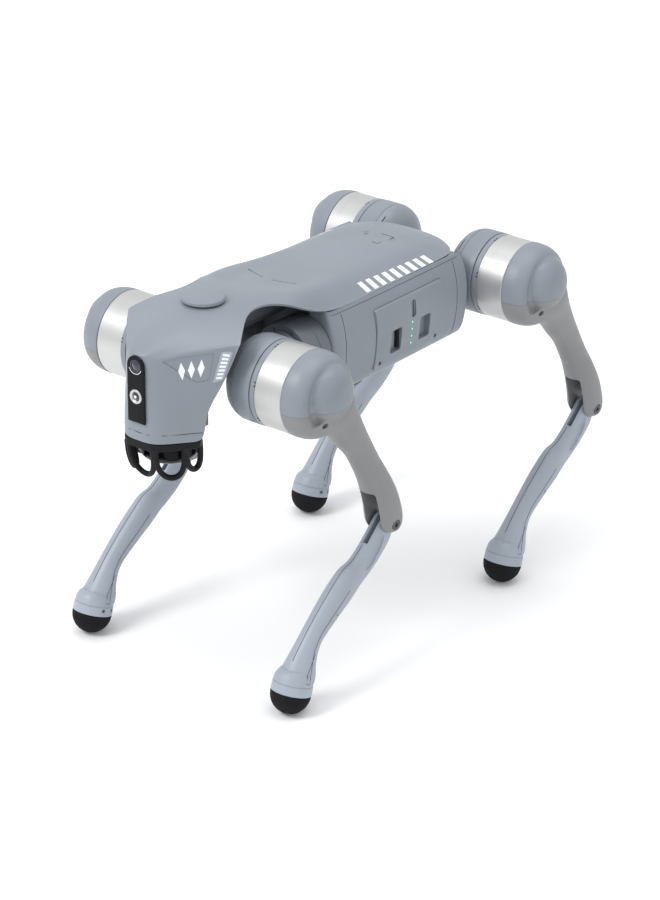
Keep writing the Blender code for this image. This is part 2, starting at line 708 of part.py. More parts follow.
def build_linkage(name, side, frame):
    """The crank on the knee motor and the rod that hands its turn down to the calf."""
    crank_axis = empty(name + "_crank_axis", frame, (0, 0, 0))
    tip = crank_point(CRANK_ANGLE)
    layer = sorted((-0.0050 * side, -0.0012 * side))
    crank = stadium(name + "_knee_crank", (0, 0), tip, 0.0040, layer[0], layer[1])
    place(crank, crank_axis, STEEL)
    pin_y = sorted((-0.0020 * side, 0.0030 * side))
    join(crank, crank_axis, rod_body(name + "_crank_pin", CRANK_PIN, pin_y[0], pin_y[1], "Y", (tip[0], 0, tip[1]), 8))

    rod_axis = empty(name + "_rod_axis", crank_axis, (tip[0], 0, tip[1]))
    rod_y = sorted((-0.0008 * side, 0.0032 * side))
    rod = stadium(name + "_knee_rod", (0, 0), (0, -LINK), 0.0040, rod_y[0], rod_y[1])
    place(rod, rod_axis, STEEL)
    for height in (0, -LINK):
        eye = rod_body(f"{name}_rod_eye_{int(height * -1000)}", CRANK_PIN + GAP, -0.01, 0.01, "Y", (0, 0, height), 8)
        cut(rod, rod_axis, eye)


def build_calf(name, side, thigh):
    frame = empty(name + "_calf_axis", thigh, (0, 0, -LINK), (0, math.radians(KNEE_ANGLE), 0))
    calf = limb(name + "_calf", calf_rings(), side)
    place(calf, frame, CALF_PAINT)
    rod_y = sorted((-0.0016 * side, 0.0042 * side))
    notch = block(name + "_rod_notch", (0.0028, rod_y[0], -0.0340), (0.0300, rod_y[1], 0.0300))
    slot = block(name + "_rod_slot", (-0.0030, rod_y[0], 0.0052), (0.0300, rod_y[1], 0.0300))
    cut(calf, frame, notch, slot)
    tip = crank_point(CRANK_ANGLE - KNEE_ANGLE)
    layer = sorted((-0.0050 * side, -0.0012 * side))
    lever = stadium(name + "_lever", (0, 0), tip, 0.0040, layer[0], layer[1])
    pin_y = sorted((-0.0020 * side, 0.0030 * side))
    pin = rod_body(name + "_lever_pin", CRANK_PIN, pin_y[0], pin_y[1], "Y", (tip[0], 0, tip[1]), 8)
    join(calf, frame, lever, pin)
    cut(calf, frame, rod_body(name + "_calf_bore", KNEE_PIN + GAP, -0.02, 0.02, "Y", (0, 0, 0), 12))

    profile = [(0, 0.0013), (0.0213, 0.0013)]
    for angle in (0, 24, 48, 71):
        turn = math.radians(angle)
        profile.append((FOOT_RADIUS * math.cos(turn), -FOOT_RADIUS * math.sin(turn)))
    profile.append((0, -FOOT_RADIUS))
    foot = turned(name + "_foot", profile)
    place(foot, frame, RUBBER, (0, 0, -LINK), (0, math.radians(FOOT_TILT), 0))


def build_leg(name, front, side, root):
    hip = build_hip(name, front, side, root)
    thigh = build_thigh(name, side, hip)
    build_linkage(name, side, thigh)
    build_calf(name, side, thigh)


def main():
    root = empty("robot_origin", None, (CENTRE_X, 0, 0))
    build_trunk(root)
    for name, (front, side) in LEGS.items():
        build_leg(name, front, side, root)


main()
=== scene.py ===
"""Looks of a four-legged walking robot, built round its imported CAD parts.

The trunk's shapes are written in the trunk's frame, whose origin is midway between the hip axes.
A leg's shapes are written once, for a left leg, in the frames of its hip, thigh and calf joints,
and then copied to the four legs, mirrored where the leg is.
"""

import json
import math

import bmesh
import bpy
from mathutils import Matrix, Vector, noise
from mathutils.bvhtree import BVHTree


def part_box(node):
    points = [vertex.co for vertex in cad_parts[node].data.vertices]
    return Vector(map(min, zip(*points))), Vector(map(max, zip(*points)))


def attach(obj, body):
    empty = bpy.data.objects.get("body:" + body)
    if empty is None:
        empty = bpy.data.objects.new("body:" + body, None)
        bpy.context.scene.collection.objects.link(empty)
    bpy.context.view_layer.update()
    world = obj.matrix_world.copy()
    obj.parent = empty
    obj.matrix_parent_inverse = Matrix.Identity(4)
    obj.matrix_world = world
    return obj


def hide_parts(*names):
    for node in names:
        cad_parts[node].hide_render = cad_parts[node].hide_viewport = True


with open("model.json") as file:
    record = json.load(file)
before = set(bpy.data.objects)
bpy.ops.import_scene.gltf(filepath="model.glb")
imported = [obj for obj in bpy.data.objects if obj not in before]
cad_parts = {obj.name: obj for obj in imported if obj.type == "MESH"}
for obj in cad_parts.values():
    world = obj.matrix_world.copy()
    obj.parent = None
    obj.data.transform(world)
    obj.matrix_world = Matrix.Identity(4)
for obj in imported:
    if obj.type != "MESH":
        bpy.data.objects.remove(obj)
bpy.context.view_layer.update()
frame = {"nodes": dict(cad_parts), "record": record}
JOINTS = {joint["name"]: joint for joint in frame["record"]["behaviour"]["joints"]}
SCENE = bpy.context.scene

LEGS = {
    "front_left": (1, 1),
    "front_right": (1, -1),
    "rear_left": (-1, 1),
    "rear_right": (-1, -1),
}


def joint_at(name):
    return Vector(JOINTS[name]["pos_m"])


FRONT_HIP = joint_at("front_left_abduction")
REAR_HIP = joint_at("rear_left_abduction")
THIGH = joint_at("front_left_thigh_swing")
KNEE = joint_at("front_left_knee_bend")
HIP_Z = FRONT_HIP.z
HIP_Y = FRONT_HIP.y
LEG_Y = THIGH.y
LINK = (KNEE - THIGH).length
THIGH_ANGLE = math.degrees(math.atan2(THIGH.x - KNEE.x, THIGH.z - KNEE.z))
KNEE_ANGLE = -78.0
FOOT_TILT = 28.5
FOOT_RADIUS = 0.022
TRUNK = Matrix.Translation(((FRONT_HIP.x + REAR_HIP.x) / 2, 0, HIP_Z))


# ---- materials ---------------------------------------------------------------------------------

class Nodes:
    """A short way to write a shader tree."""

    def __init__(self, name):
        self.material = bpy.data.materials.new(name)
        self.material.use_nodes = True
        self.tree = self.material.node_tree
        self.shader = self.tree.nodes["Principled BSDF"]
        self.coords = self.add("ShaderNodeTexCoord")

    def add(self, kind, **settings):
        node = self.tree.nodes.new(kind)
        for key, value in settings.items():
            setattr(node, key, value)
        return node

    def link(self, source, target):
        self.tree.links.new(source, target)

    def noise(self, scale, detail=2.0, stretch=(1, 1, 1), roughness=0.5):
        mapping = self.add("ShaderNodeMapping")
        mapping.inputs["Scale"].default_value = stretch
        self.link(self.coords.outputs["Object"], mapping.inputs["Vector"])
        node = self.add("ShaderNodeTexNoise")
        node.inputs["Scale"].default_value = scale
        node.inputs["Detail"].default_value = detail
        node.inputs["Roughness"].default_value = roughness
        self.link(mapping.outputs["Vector"], node.inputs["Vector"])
        return node.outputs["Fac"]

    def spread(self, source, low, high, out_low, out_high):
        node = self.add("ShaderNodeMapRange")
        for key, value in (("From Min", low), ("From Max", high), ("To Min", out_low), ("To Max", out_high)):
            node.inputs[key].default_value = value
        self.link(source, node.inputs["Value"])
        return node.outputs["Result"]

    def mix(self, amount, first, second):
        node = self.add("ShaderNodeMix", data_type="RGBA")
        for socket, value in ((node.inputs[6], first), (node.inputs[7], second)):
            if isinstance(value, tuple):
                socket.default_value = (*value, 1.0)
            else:
                self.link(value, socket)
        self.link(amount, node.inputs[0])
        return node.outputs[2]

    def darker(self, source, amount):
        node = self.add("ShaderNodeHueSaturation")
        node.inputs["Value"].default_value = amount
        self.link(source, node.inputs["Color"])
        return node.outputs["Color"]

    def bump(self, source, depth, before=None):
        node = self.add("ShaderNodeBump")
        node.inputs["Strength"].default_value = 1.0
        node.inputs["Distance"].default_value = depth
        self.link(source, node.inputs["Height"])
        if before:
            self.link(before, node.inputs["Normal"])
        return node.outputs["Normal"]


def shade(colour, amount):
    return tuple(min(1.0, max(0.0, value * amount)) for value in colour)


def painted(name, colour, roughness=0.42, grain=0.00006, wear=0.35, coat=0.0):
    """Sprayed paint: a fine pebbled skin, faint tone drift, a few dust specks and lighter rubbed edges."""
    nodes = Nodes(name)
    drift = nodes.spread(nodes.noise(9.0, 3.0), 0.35, 0.65, 0.0, 1.0)
    tone = nodes.mix(drift, shade(colour, 0.955), shade(colour, 1.04))
    speck = nodes.spread(nodes.noise(1900.0, 2.0), 0.30, 0.72, 0.0, 1.0)
    tone = nodes.mix(speck, nodes.darker(tone, 0.93), tone)
    edge = nodes.add("ShaderNodeNewGeometry").outputs["Pointiness"]
    rubbed = nodes.spread(edge, 0.545, 0.62, 0.0, wear)
    tone = nodes.mix(rubbed, tone, shade(colour, 1.45))
    nodes.link(tone, nodes.shader.inputs["Base Color"])
    smudge = nodes.spread(nodes.noise(28.0, 4.0), 0.3, 0.7, roughness - 0.045, roughness + 0.05)
    nodes.link(smudge, nodes.shader.inputs["Roughness"])
    peel = nodes.bump(nodes.noise(420.0, 2.0), grain)
    fine = nodes.bump(nodes.noise(2600.0, 1.0), grain * 0.35, peel)
    nodes.link(fine, nodes.shader.inputs["Normal"])
    nodes.shader.inputs["Coat Weight"].default_value = coat
    nodes.shader.inputs["Coat Roughness"].default_value = 0.25
    return nodes.material


def turned_metal(name, colour, roughness, along, metallic=1.0):
    """Machined and blasted metal: fine tool rings along one axis under a soft blasted grain."""
    nodes = Nodes(name)
    stretch = tuple(1.0 if axis == along else 0.004 for axis in "XYZ")
    rings = nodes.noise(2200.0, 3.0, stretch)
    tone = nodes.mix(nodes.spread(rings, 0.3, 0.7, 0.0, 1.0), shade(colour, 0.93), shade(colour, 1.03))
    drift = nodes.spread(nodes.noise(14.0, 3.0), 0.35, 0.65, 0.0, 0.35)
    tone = nodes.mix(drift, tone, shade(colour, 0.88))
    nodes.link(tone, nodes.shader.inputs["Base Color"])
    varied = nodes.spread(rings, 0.2, 0.8, roughness - 0.05, roughness + 0.07)
    nodes.link(varied, nodes.shader.inputs["Roughness"])
    blasted = nodes.bump(nodes.noise(1500.0, 2.0), 0.00004)
    nodes.link(nodes.bump(rings, 0.00003, blasted), nodes.shader.inputs["Normal"])
    nodes.shader.inputs["Metallic"].default_value = metallic
    return nodes.material


def moulded(name, colour, roughness, grain=0.00008, scale=900.0):
    """Moulded black plastic or rubber: a fine leather-like grain with dusty high spots."""
    nodes = Nodes(name)
    dust = nodes.spread(nodes.noise(35.0, 5.0), 0.42, 0.75, 0.0, 0.45)
    tone = nodes.mix(dust, colour, shade(colour, 1.9))
    edge = nodes.spread(nodes.add("ShaderNodeNewGeometry").outputs["Pointiness"], 0.54, 0.63, 0.0, 0.5)
    nodes.link(nodes.mix(edge, tone, shade(colour, 3.2)), nodes.shader.inputs["Base Color"])
    grains = nodes.noise(scale, 3.0)
    varied = nodes.spread(grains, 0.3, 0.7, roughness - 0.08, roughness + 0.08)
    nodes.link(varied, nodes.shader.inputs["Roughness"])
    nodes.link(nodes.bump(grains, grain), nodes.shader.inputs["Normal"])
    nodes.shader.inputs["Specular IOR Level"].default_value = 0.12
    return nodes.material


def glossy(name, colour, roughness, coat=1.0, specular=0.28):
    """Polished plastic or glass, with a little dust and a smear."""
    nodes = Nodes(name)
    dust = nodes.spread(nodes.noise(60.0, 4.0), 0.5, 0.8, 0.0, 0.25)
    nodes.link(nodes.mix(dust, colour, shade(colour, 1.6)), nodes.shader.inputs["Base Color"])
    smear = nodes.spread(nodes.noise(20.0, 3.0), 0.3, 0.7, roughness, roughness + 0.07)
    nodes.link(smear, nodes.shader.inputs["Roughness"])
    nodes.shader.inputs["Specular IOR Level"].default_value = specular
    nodes.shader.inputs["Coat Weight"].default_value = coat
    nodes.shader.inputs["Coat Roughness"].default_value = 0.04
    return nodes.material


def glowing(name, colour, strength):
    """The lens of a small lamp that is on."""
    nodes = Nodes(name)
    nodes.shader.inputs["Emission Strength"].default_value = strength
    core = nodes.spread(nodes.noise(700.0, 1.0), 0.3, 0.7, 0.0, 1.0)
    tone = nodes.mix(core, shade(colour, 0.75), colour)
    nodes.link(tone, nodes.shader.inputs["Base Color"])
    nodes.link(tone, nodes.shader.inputs["Emission Color"])
    return nodes.material


SHELL = painted("shell_paint_look", (0.208, 0.230, 0.262))
CALF = painted("calf_paint_look", (0.315, 0.348, 0.400), 0.40)
THIGH_GREY = painted("thigh_paint_look", (0.205, 0.206, 0.212), 0.44)
DRUM = painted("drum_paint_look", (0.120, 0.134, 0.156), 0.45)
# Painted shade: a darkened copy of the shell paint, standing for shell paint in shade inside the front
# arches; the chassis and the roof rail take it.
INNER_SHADE = painted("inner_frame_painted_shade_look", (0.110, 0.120, 0.138), 0.5, wear=0.2)
SILVER = turned_metal("motor_silver_look", (0.58, 0.58, 0.575), 0.40, "Y", 0.85)
STEEL = turned_metal("steel_look", (0.42, 0.42, 0.43), 0.30, "Y")
SCREW = turned_metal("screw_look", (0.10, 0.10, 0.11), 0.35, "Z")
FRAME = moulded("frame_look", (0.0075, 0.0075, 0.0085), 0.46)
RUBBER = moulded("rubber_look", (0.0085, 0.0085, 0.0095), 0.75, 0.00014, 1500.0)
SEAM = moulded("seam_look", (0.010, 0.011, 0.014), 0.8)
GLOSS = glossy("gloss_look", (0.0045, 0.005, 0.0065), 0.16, 0.04, 0.10)
GLASS = glossy("lens_look", (0.012, 0.014, 0.028), 0.03)
# Painted highlight: a white glossy material for the small disc that stands for a glint on the headlight's
# bulb.
GLINT_WHITE = glossy("painted_glint_look", (0.75, 0.76, 0.74), 0.10)
WHITE = painted("mark_white", (0.80, 0.82, 0.84), 0.5, wear=0.0)
GREEN = glowing("led_green", (0.10, 0.85, 0.38), 1.4)


# ---- mesh helpers ------------------------------------------------------------------------------

PATCH_CELL = 0.002  # the longest edge that a printed mark keeps


def make_object(name, data):
    made = bpy.data.objects.new(name, data)
    SCENE.collection.objects.link(made)
    return made


def opened(obj):
    """A bmesh that holds the object's mesh."""
    work = bmesh.new()
    work.from_mesh(obj.data)
    return work


def closed(work, obj):
    """Writes a bmesh back to its object."""
    work.to_mesh(obj.data)
    work.free()
    return obj


def mesh_object(name, points, faces):
    data = bpy.data.meshes.new(name)
    data.from_pydata([tuple(point) for point in points], [], faces)
    made = make_object(name, data)
    work = opened(made)
    bmesh.ops.remove_doubles(work, verts=work.verts, dist=0.000002)
    bmesh.ops.recalc_face_normals(work, faces=work.faces)
    return closed(work, made)


def loft(name, rings, caps=True):
    """A skin over rings of points, with its ends closed."""
    count = len(rings[0])
    points = [point for ring in rings for point in ring]
    faces = []
    if caps:
        faces = [tuple(range(count)), tuple(range(len(points) - count, len(points)))]
    for row in range(len(rings) - 1):
        for step in range(count):
            after = (step + 1) % count
            base = row * count
            faces.append((base + step, base + after, base + count + after, base + count + step))
    return mesh_object(name, points, faces)


def circle(radius, height, steps):
    ring = []
    for step in range(steps):
        angle = 2 * math.pi * step / steps
        ring.append((radius * math.cos(angle), radius * math.sin(angle), height))
    return ring


def turned(name, profile, steps=72):
    """(radius, height) points turned about local Z into a closed body."""
    return loft(name, [circle(radius, height, steps) for radius, height in profile])


def block(name, low, high, bevel=0.0, segments=2):
    low = Vector(low)
    high = Vector(high)
    work = bmesh.new()
    matrix = Matrix.Translation((low + high) / 2) @ Matrix.Diagonal((*(high - low), 1.0))
    bmesh.ops.create_cube(work, size=1.0, matrix=matrix)
    if bevel:
        edges = work.edges[:]
        bmesh.ops.bevel(work, geom=edges, offset=bevel, segments=segments, profile=0.5, affect="EDGES")
    return closed(work, make_object(name, bpy.data.meshes.new(name)))


def placed(shape, spot, turn=Matrix()):
    """The shape turned, then moved to a spot."""
    shape.data.transform(Matrix.Translation(spot) @ turn)
    return shape


def facing_left():
    """Turns a shape made about Z so that its axis points outwards along +Y."""
    return Matrix.Rotation(math.radians(-90), 4, "X")


def facing_front():
    """Turns a shape made about Z so that its axis points forwards along +X."""
    return Matrix.Rotation(math.radians(90), 4, "Y")


def bar(name, radius, start, end, steps=32):
    """A straight round bar."""
    start = Vector(start)
    end = Vector(end)
    turn = (end - start).to_track_quat("Z", "Y").to_matrix().to_4x4()
    return placed(turned(name, [(radius, 0), (radius, (end - start).length)], steps), start, turn)


def tube(name, points, radius, resolution=3):
    """A bent wire through the points."""
    curve = bpy.data.curves.new(name, "CURVE")
    curve.dimensions = "3D"
    curve.bevel_depth = radius
    curve.bevel_resolution = resolution
    curve.use_fill_caps = True
    line = curve.splines.new("POLY")
    line.points.add(len(points) - 1)
    for spot, point in zip(line.points, points):
        spot.co = (*point, 1)
    return bake(make_object(name, curve))


def bake(obj):
    """The object with all its modifiers applied, as a plain mesh object of the same name."""
    graph = bpy.context.evaluated_depsgraph_get()
    graph.update()
    data = bpy.data.meshes.new_from_object(obj.evaluated_get(graph))
    name = obj.name
    bpy.data.objects.remove(obj, do_unlink=True)
    data.name = name
    return make_object(name, data)


def modified(obj, kind, **settings):
    step = obj.modifiers.new(kind.lower(), kind)
    for key, value in settings.items():
        setattr(step, key, value)
    return step


def carved(obj, *cutters, operation="DIFFERENCE"):
    for cutter in cutters:
        modified(obj, "BOOLEAN", operation=operation, object=cutter, solver="EXACT")
    made = bake(obj)
    for cutter in cutters:
        bpy.data.objects.remove(cutter, do_unlink=True)
    return made


def subdivided(obj, levels):
    modified(obj, "SUBSURF", levels=levels, render_levels=levels)
    return bake(obj)


def copied(obj, name, matrix):
    """A copy of the mesh in another place. A mirroring matrix keeps its faces the right way out."""
    data = obj.data.copy()
    data.name = name
    data.transform(matrix)
    if matrix.determinant() < 0:
        data.flip_normals()
    return make_object(name, data)


def piece(obj, body, look, slot=None, nodes=(), angle=35):
    """Gives a finished shape its look and the body it rides on."""
    obj.data.materials.clear()
    obj.data.materials.append(look)
    obj.data.shade_smooth()
    obj.data.set_sharp_from_angle(angle=math.radians(angle))
    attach(obj, body)
    if nodes:
        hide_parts(*nodes)
    return obj


def surface_points(target, points, way, lift=0.0):
    """Points dropped onto the target along a direction, then lifted off it by a little."""
    work = opened(target)
    tree = BVHTree.FromBMesh(work)
    work.free()
    way = Vector(way).normalized()
    found = []
    for point in points:
        start = Vector(point) - way * 0.2
        spot, normal, _, _ = tree.ray_cast(start, way)
        if spot is None:
            spot, normal, _, _ = tree.find_nearest(Vector(point))
        if normal.dot(way) > 0:
            normal = -normal
        found.append(spot + normal * lift)
    return found


def seam(name, target, points, way, radius):
    """A fine line or groove that follows the target's surface."""
    dense = []
    for first, last in zip(points, points[1:]):
        first = Vector(first)
        last = Vector(last)
        steps = max(1, int((last - first).length / 0.003))
        dense += [first.lerp(last, step / steps) for step in range(steps)]
    dense.append(Vector(points[-1]))
    return tube(name, surface_points(target, dense, way), radius, 2)


def patch(name, target, outline, way, lift=0.00012):
    """A thin printed mark: a flat outline laid on the target's surface."""
    work = bmesh.new()
    work.faces.new([work.verts.new(point) for point in outline])
    bmesh.ops.triangulate(work, faces=work.faces[:])
    for _ in range(3):
        long_edges = [edge for edge in work.edges if edge.calc_length() > PATCH_CELL]
        if long_edges:
            bmesh.ops.subdivide_edges(work, edges=long_edges, cuts=1)
            bmesh.ops.triangulate(work, faces=work.faces[:])
    spots = surface_points(target, [vert.co.copy() for vert in work.verts], way, lift)
    for vert, spot in zip(work.verts, spots):
        vert.co = spot
    made = closed(work, make_object(name, bpy.data.meshes.new(name)))
    modified(made, "SOLIDIFY", thickness=0.00008, offset=0)
    return bake(made)


def oval(mid_x, mid_y, half_x, half_y, power, height, count=40):
    ring = []
    for step in range(count):
        angle = 2 * math.pi * (step + 0.5) / count
        across = math.copysign(abs(math.cos(angle)) ** (2 / power), math.cos(angle))
        deep = math.copysign(abs(math.sin(angle)) ** (2 / power), math.sin(angle))
        ring.append((mid_x + half_x * across, mid_y + half_y * deep, height))
    return ring


def spline(keys, at):
    """A smooth value between (position, value, ...) keys, by Catmull-Rom."""
    if at <= keys[0][0]:
        return keys[0][1:]
    if at >= keys[-1][0]:
        return keys[-1][1:]
    spot = next(i for i in range(len(keys) - 1) if keys[i][0] <= at <= keys[i + 1][0])
    near, far = keys[spot], keys[spot + 1]
    before = keys[max(spot - 1, 0)]
    after = keys[min(spot + 2, len(keys) - 1)]
    span = far[0] - near[0]
    share = (at - near[0]) / span
    result = []
    for column in range(1, len(near)):
        start = (far[column] - before[column]) / max(far[0] - before[0], 1e-9) * span
        end = (after[column] - near[column]) / max(after[0] - near[0], 1e-9) * span
        a = 2 * share ** 3 - 3 * share ** 2 + 1
        b = share ** 3 - 2 * share ** 2 + share
        c = -2 * share ** 3 + 3 * share ** 2
        d = share ** 3 - share ** 2
        result.append(a * near[column] + b * start + c * far[column] + d * end)
    return tuple(result)


# ---- legs, written for a left leg ---------------------------------------------------------------

SHELL_WALL = 0.0024
DRUM_RADIUS = 0.0474
RING_START = 0.0912 - 0.142  # the bright ring, from the plane of the thigh
RING_END = 0.1252 - 0.142
BULGE = (-0.0055, 0.0035)  # middle of the head's bulge, from the thigh's axis


def dome_height(x, z):
    """How far the leg's round head stands out of the thigh plane: a stepped crown and a muscle-like bulge."""
    radius = math.hypot(x, z)
    crown = spline(
        [
            (0.0, 0.0085),
            (0.020, 0.0086),
            (0.030, 0.0090),
            (0.0350, 0.0104),
            (0.0380, 0.0105),
            (0.0412, 0.0086),
            (0.0440, 0.0044),
            (0.0460, -0.0008),
            (0.0470, -0.0060),
            (DRUM_RADIUS, -0.0130),
        ],
        radius,
    )[0]
    away = math.hypot(x - BULGE[0], (z - BULGE[1]) * 0.97)
    bulge = spline(
        [
            (0.0, 0.0290),
            (0.008, 0.0287),
            (0.016, 0.0270),
            (0.0220, 0.0234),
            (0.0268, 0.0182),
            (0.0298, 0.0120),
            (0.0314, 0.0050),
            (0.0500, -0.0900),
        ],
        away,
    )[0]
    soft = 0.0007
    reach = max(crown, bulge)
    total = math.exp((crown - reach) / soft) + math.exp((bulge - reach) / soft)
    return reach + soft * math.log(total) - 0.0004


def head_shape():
    """The whole round head of the leg in the thigh's axes, before it is split into cap and thigh."""
    radii = [0.0, 0.006, 0.012, 0.018, 0.022, 0.026, 0.029, 0.032, 0.035, 0.038, 0.0405, 0.0425, 0.0442]
    radii += [0.0455, 0.0465, 0.0471, DRUM_RADIUS]
    rings = []
    for radius in radii:
        rings.append([(x, dome_height(x, z), z) for x, z, _ in circle(radius, 0, 96)])
    back = RING_END + 0.0003
    rings.append([(x, back, z) for x, _, z in rings[-1]])
    return loft("head_shape", rings)


# Down from the hip: middle x and half width, middle y and half depth, and how square the outline is.
THIGH_KEYS = [
    (0.008, -0.0010, 0.0390, 0.0022, 0.0170, 2.3),
    (0.029, -0.0045, 0.0290, 0.0022, 0.0184, 2.3),
    (0.050, -0.0080, 0.0225, 0.0010, 0.0172, 2.2),
    (0.076, -0.0105, 0.0190, 0.0000, 0.0165, 2.1),
    (0.100, -0.0130, 0.0160, 0.0000, 0.0155, 2.1),
    (0.130, -0.0135, 0.0158, 0.0000, 0.0152, 2.1),
    (0.150, -0.0135, 0.0165, 0.0000, 0.0165, 2.2),
    (0.170, -0.0122, 0.0175, 0.0000, 0.0180, 2.4),
    (0.188, -0.0095, 0.0190, 0.0000, 0.0188, 2.5),
    (0.203, -0.0055, 0.0200, 0.0000, 0.0190, 2.6),
    (0.214, -0.0042, 0.0178, 0.0000, 0.0187, 2.6),
    (0.222, -0.0040, 0.0130, 0.0000, 0.0175, 2.4),
    (0.2262, -0.0040, 0.0070, 0.0000, 0.0150, 2.2),
]

# The same from the knee down, with the tilt of the outline in degrees.
CALF_KEYS = [
    (-0.0100, 0.0000, 0.0080, 0.0, 0.0084, 2.4, 0.0),
    (0.0000, -0.0015, 0.0130, 0.0, 0.0094, 2.8, 0.0),
    (0.0120, -0.0045, 0.0165, 0.0, 0.0094, 2.8, 0.0),
    (0.0400, -0.0038, 0.0165, 0.0, 0.0094, 2.8, 0.0),
    (0.0600, 0.0000, 0.0162, 0.0, 0.0096, 2.8, 0.0),
    (0.0720, 0.0055, 0.0170, 0.0, 0.0118, 2.5, 0.0),
    (0.0950, 0.0095, 0.0160, 0.0, 0.0132, 2.4, 0.0),
    (0.1190, 0.0132, 0.0142, 0.0, 0.0132, 2.2, 0.0),
    (0.1500, 0.0160, 0.0120, 0.0, 0.0122, 2.2, 0.0),
    (0.1650, 0.0140, 0.0132, 0.0, 0.0135, 2.1, 4.0),
    (0.1780, 0.0102, 0.0160, 0.0, 0.0160, 2.0, 12.0),
    (0.1880, 0.0066, 0.0188, 0.0, 0.0186, 2.0, 20.0),
    (0.2000, 0.0036, 0.0207, 0.0, 0.0206, 2.0, FOOT_TILT),
]


def limb(name, keys, stations, count=40):
    """A limb down from the origin, with an oval outline at each station."""
    rings = []
    for down in stations:
        x, half_x, y, half_y, power, *tilt = spline(keys, down)
        ring = oval(0, y, half_x, half_y, power, 0, count)
        spin = Matrix.Rotation(math.radians(tilt[0] if tilt else 0), 3, "Y")
        rings.append([tuple(spin @ Vector(point) + Vector((x, 0, -down))) for point in ring])
    return loft(name, rings)


def spaced(keys, step):
    """Evenly spaced stations from the first key to the last."""
    low = keys[0][0]
    high = keys[-1][0]
    count = round((high - low) / step)
    return [low + (high - low) * i / count for i in range(count + 1)]


def split_at(obj, height, keep_above, name):
    """One side of a level cut through the head, closed with a flat face. Heights are in the hip's axes."""
    work = opened(obj)
    level = Matrix.Rotation(math.radians(-THIGH_ANGLE), 3, "Y")
    normal = level @ Vector((0, 0, 1))
    geometry = work.verts[:] + work.edges[:] + work.faces[:]
    sides = {"clear_inner": keep_above, "clear_outer": not keep_above}
    made = bmesh.ops.bisect_plane(work, geom=geometry, plane_co=normal * height, plane_no=normal, **sides)
    edges = [item for item in made["geom_cut"] if isinstance(item, bmesh.types.BMEdge)]
    bmesh.ops.holes_fill(work, edges=edges, sides=0)
    return closed(work, make_object(name, bpy.data.meshes.new(name)))


def thigh_shapes():
    """(thigh, cap): the limb and the head grown together, then parted along the paint line."""
    body = limb("thigh_limb", THIGH_KEYS, spaced(THIGH_KEYS, 0.005))
    body = carved(body, head_shape(), operation="UNION")
    modified(body, "REMESH", mode="VOXEL", voxel_size=0.00115)
    modified(body, "CORRECTIVE_SMOOTH", factor=0.5, iterations=4, use_only_smooth=True)
    body = bake(body)
    flatten_back(body)
    cap = split_at(body, -0.0079, True, "cap")
    thigh = split_at(body, -0.0081, False, "thigh")
    bpy.data.objects.remove(body, do_unlink=True)
    gap = block("gap", (-0.0200, -0.0102, -0.2600), (0.0600, 0.0102, -0.1600), 0.004, 4)
    hollow = block("hollow", (-0.0195, -0.0056, -0.1650), (-0.0045, 0.0040, -0.0400))
    pivot = bar("pivot", 0.0043, (0, -0.030, -LINK), (0, 0.030, -LINK))
    sink = bar("sink", 0.0062, (0, 0.0172, -LINK), (0, 0.030, -LINK))
    room = bar("room", 0.0400, (0, RING_END - 0.010, 0), (0, 0.0030, 0), 48)
    screw_hole = bar("screw_hole", 0.0034, (0.0230, 0.0042, -0.0145), (0.0236, 0.0300, -0.0150), 24)
    slot = block("slot", (-0.0035, 0.0, -0.0480), (0.0035, 0.012, -0.0464))
    placed(slot, (0.004, -0.014, 0.0))
    thigh = carved(thigh, gap, hollow, pivot, sink, room, screw_hole, slot)
    cap = carved(cap, bar("room", 0.0400, (0, RING_END - 0.010, 0), (0, 0.0034, 0), 48))
    return thigh, cap


def flatten_back(body):
    """Brings the smoothed rear rim of the head back to its flat joint face against the motor."""
    face = RING_END + 0.0003
    for vert in body.data.vertices:
        near = math.hypot(vert.co.x, vert.co.z) < DRUM_RADIUS + 0.001
        if near and vert.co.y < face + 0.0016:
            vert.co.y = face + max(0.0, (vert.co.y - face) * 0.6)


def bracket_shapes():
    """The hip housing with its end seam and joint lines, and the neck towards the trunk's motor."""
    inner = 0.0400 - 0.0465
    profile = [
        (0.0, inner),
        (0.0240, inner),
        (0.0300, inner + 0.0015),
        (0.0375, inner + 0.0060),
        (0.0430, inner + 0.0110),
        (0.0458, inner + 0.0160),
        (0.0470, inner + 0.0200),
        (0.0474, inner + 0.0220),
        (0.0469, inner + 0.0222),
        (0.0469, inner + 0.0227),
        (0.0474, inner + 0.0229),
        (0.0475, 0.0300),
        (0.0475, 0.0366),
        (0.0472, 0.0372),
        (0.0450, 0.0376),
        (0.0, 0.0376),
    ]
    housing = turned("housing", profile)
    housing.data.transform(facing_left())
    profile = [(0, 0), (0.0285, 0), (0.0285, 0.0030), (0.0272, 0.0036), (0.0272, 0.0240), (0, 0.0240)]
    neck = placed(turned("neck", profile), (-0.0545, 0, 0), facing_front())
    housing = carved(housing, neck, operation="UNION")
    slot = block("mark", (-0.0320, 0.0090, 0.0300), (-0.0200, 0.0102, 0.0600))
    window = bar("window", 0.0026, (0.0330, 0.0320, -0.0330), (0.0420, 0.0320, -0.0420), 20)
    return carved(housing, slot, window)


def motor_shapes():
    """The thigh motor: a painted band beside the housing, then the bright turned ring."""
    start = 0.0846 - LEG_Y
    band = [
        (0.0, start),
        (0.0462, start),
        (0.0471, start + 0.0006),
        (0.0471, RING_START - 0.0004),
        (0.0464, RING_START),
        (0.0, RING_START),
    ]
    ring = [
        (0.0, RING_START),
        (0.0464, RING_START),
        (0.0469, RING_START + 0.0005),
        (0.0470, RING_END - 0.0006),
        (0.0464, RING_END),
        (0.0, RING_END),
    ]
    made = []
    for name, profile in (("band", band), ("ring", ring)):
        shape = turned(name, profile, 96)
        shape.data.transform(facing_left())
        made.append(shape)
    return made


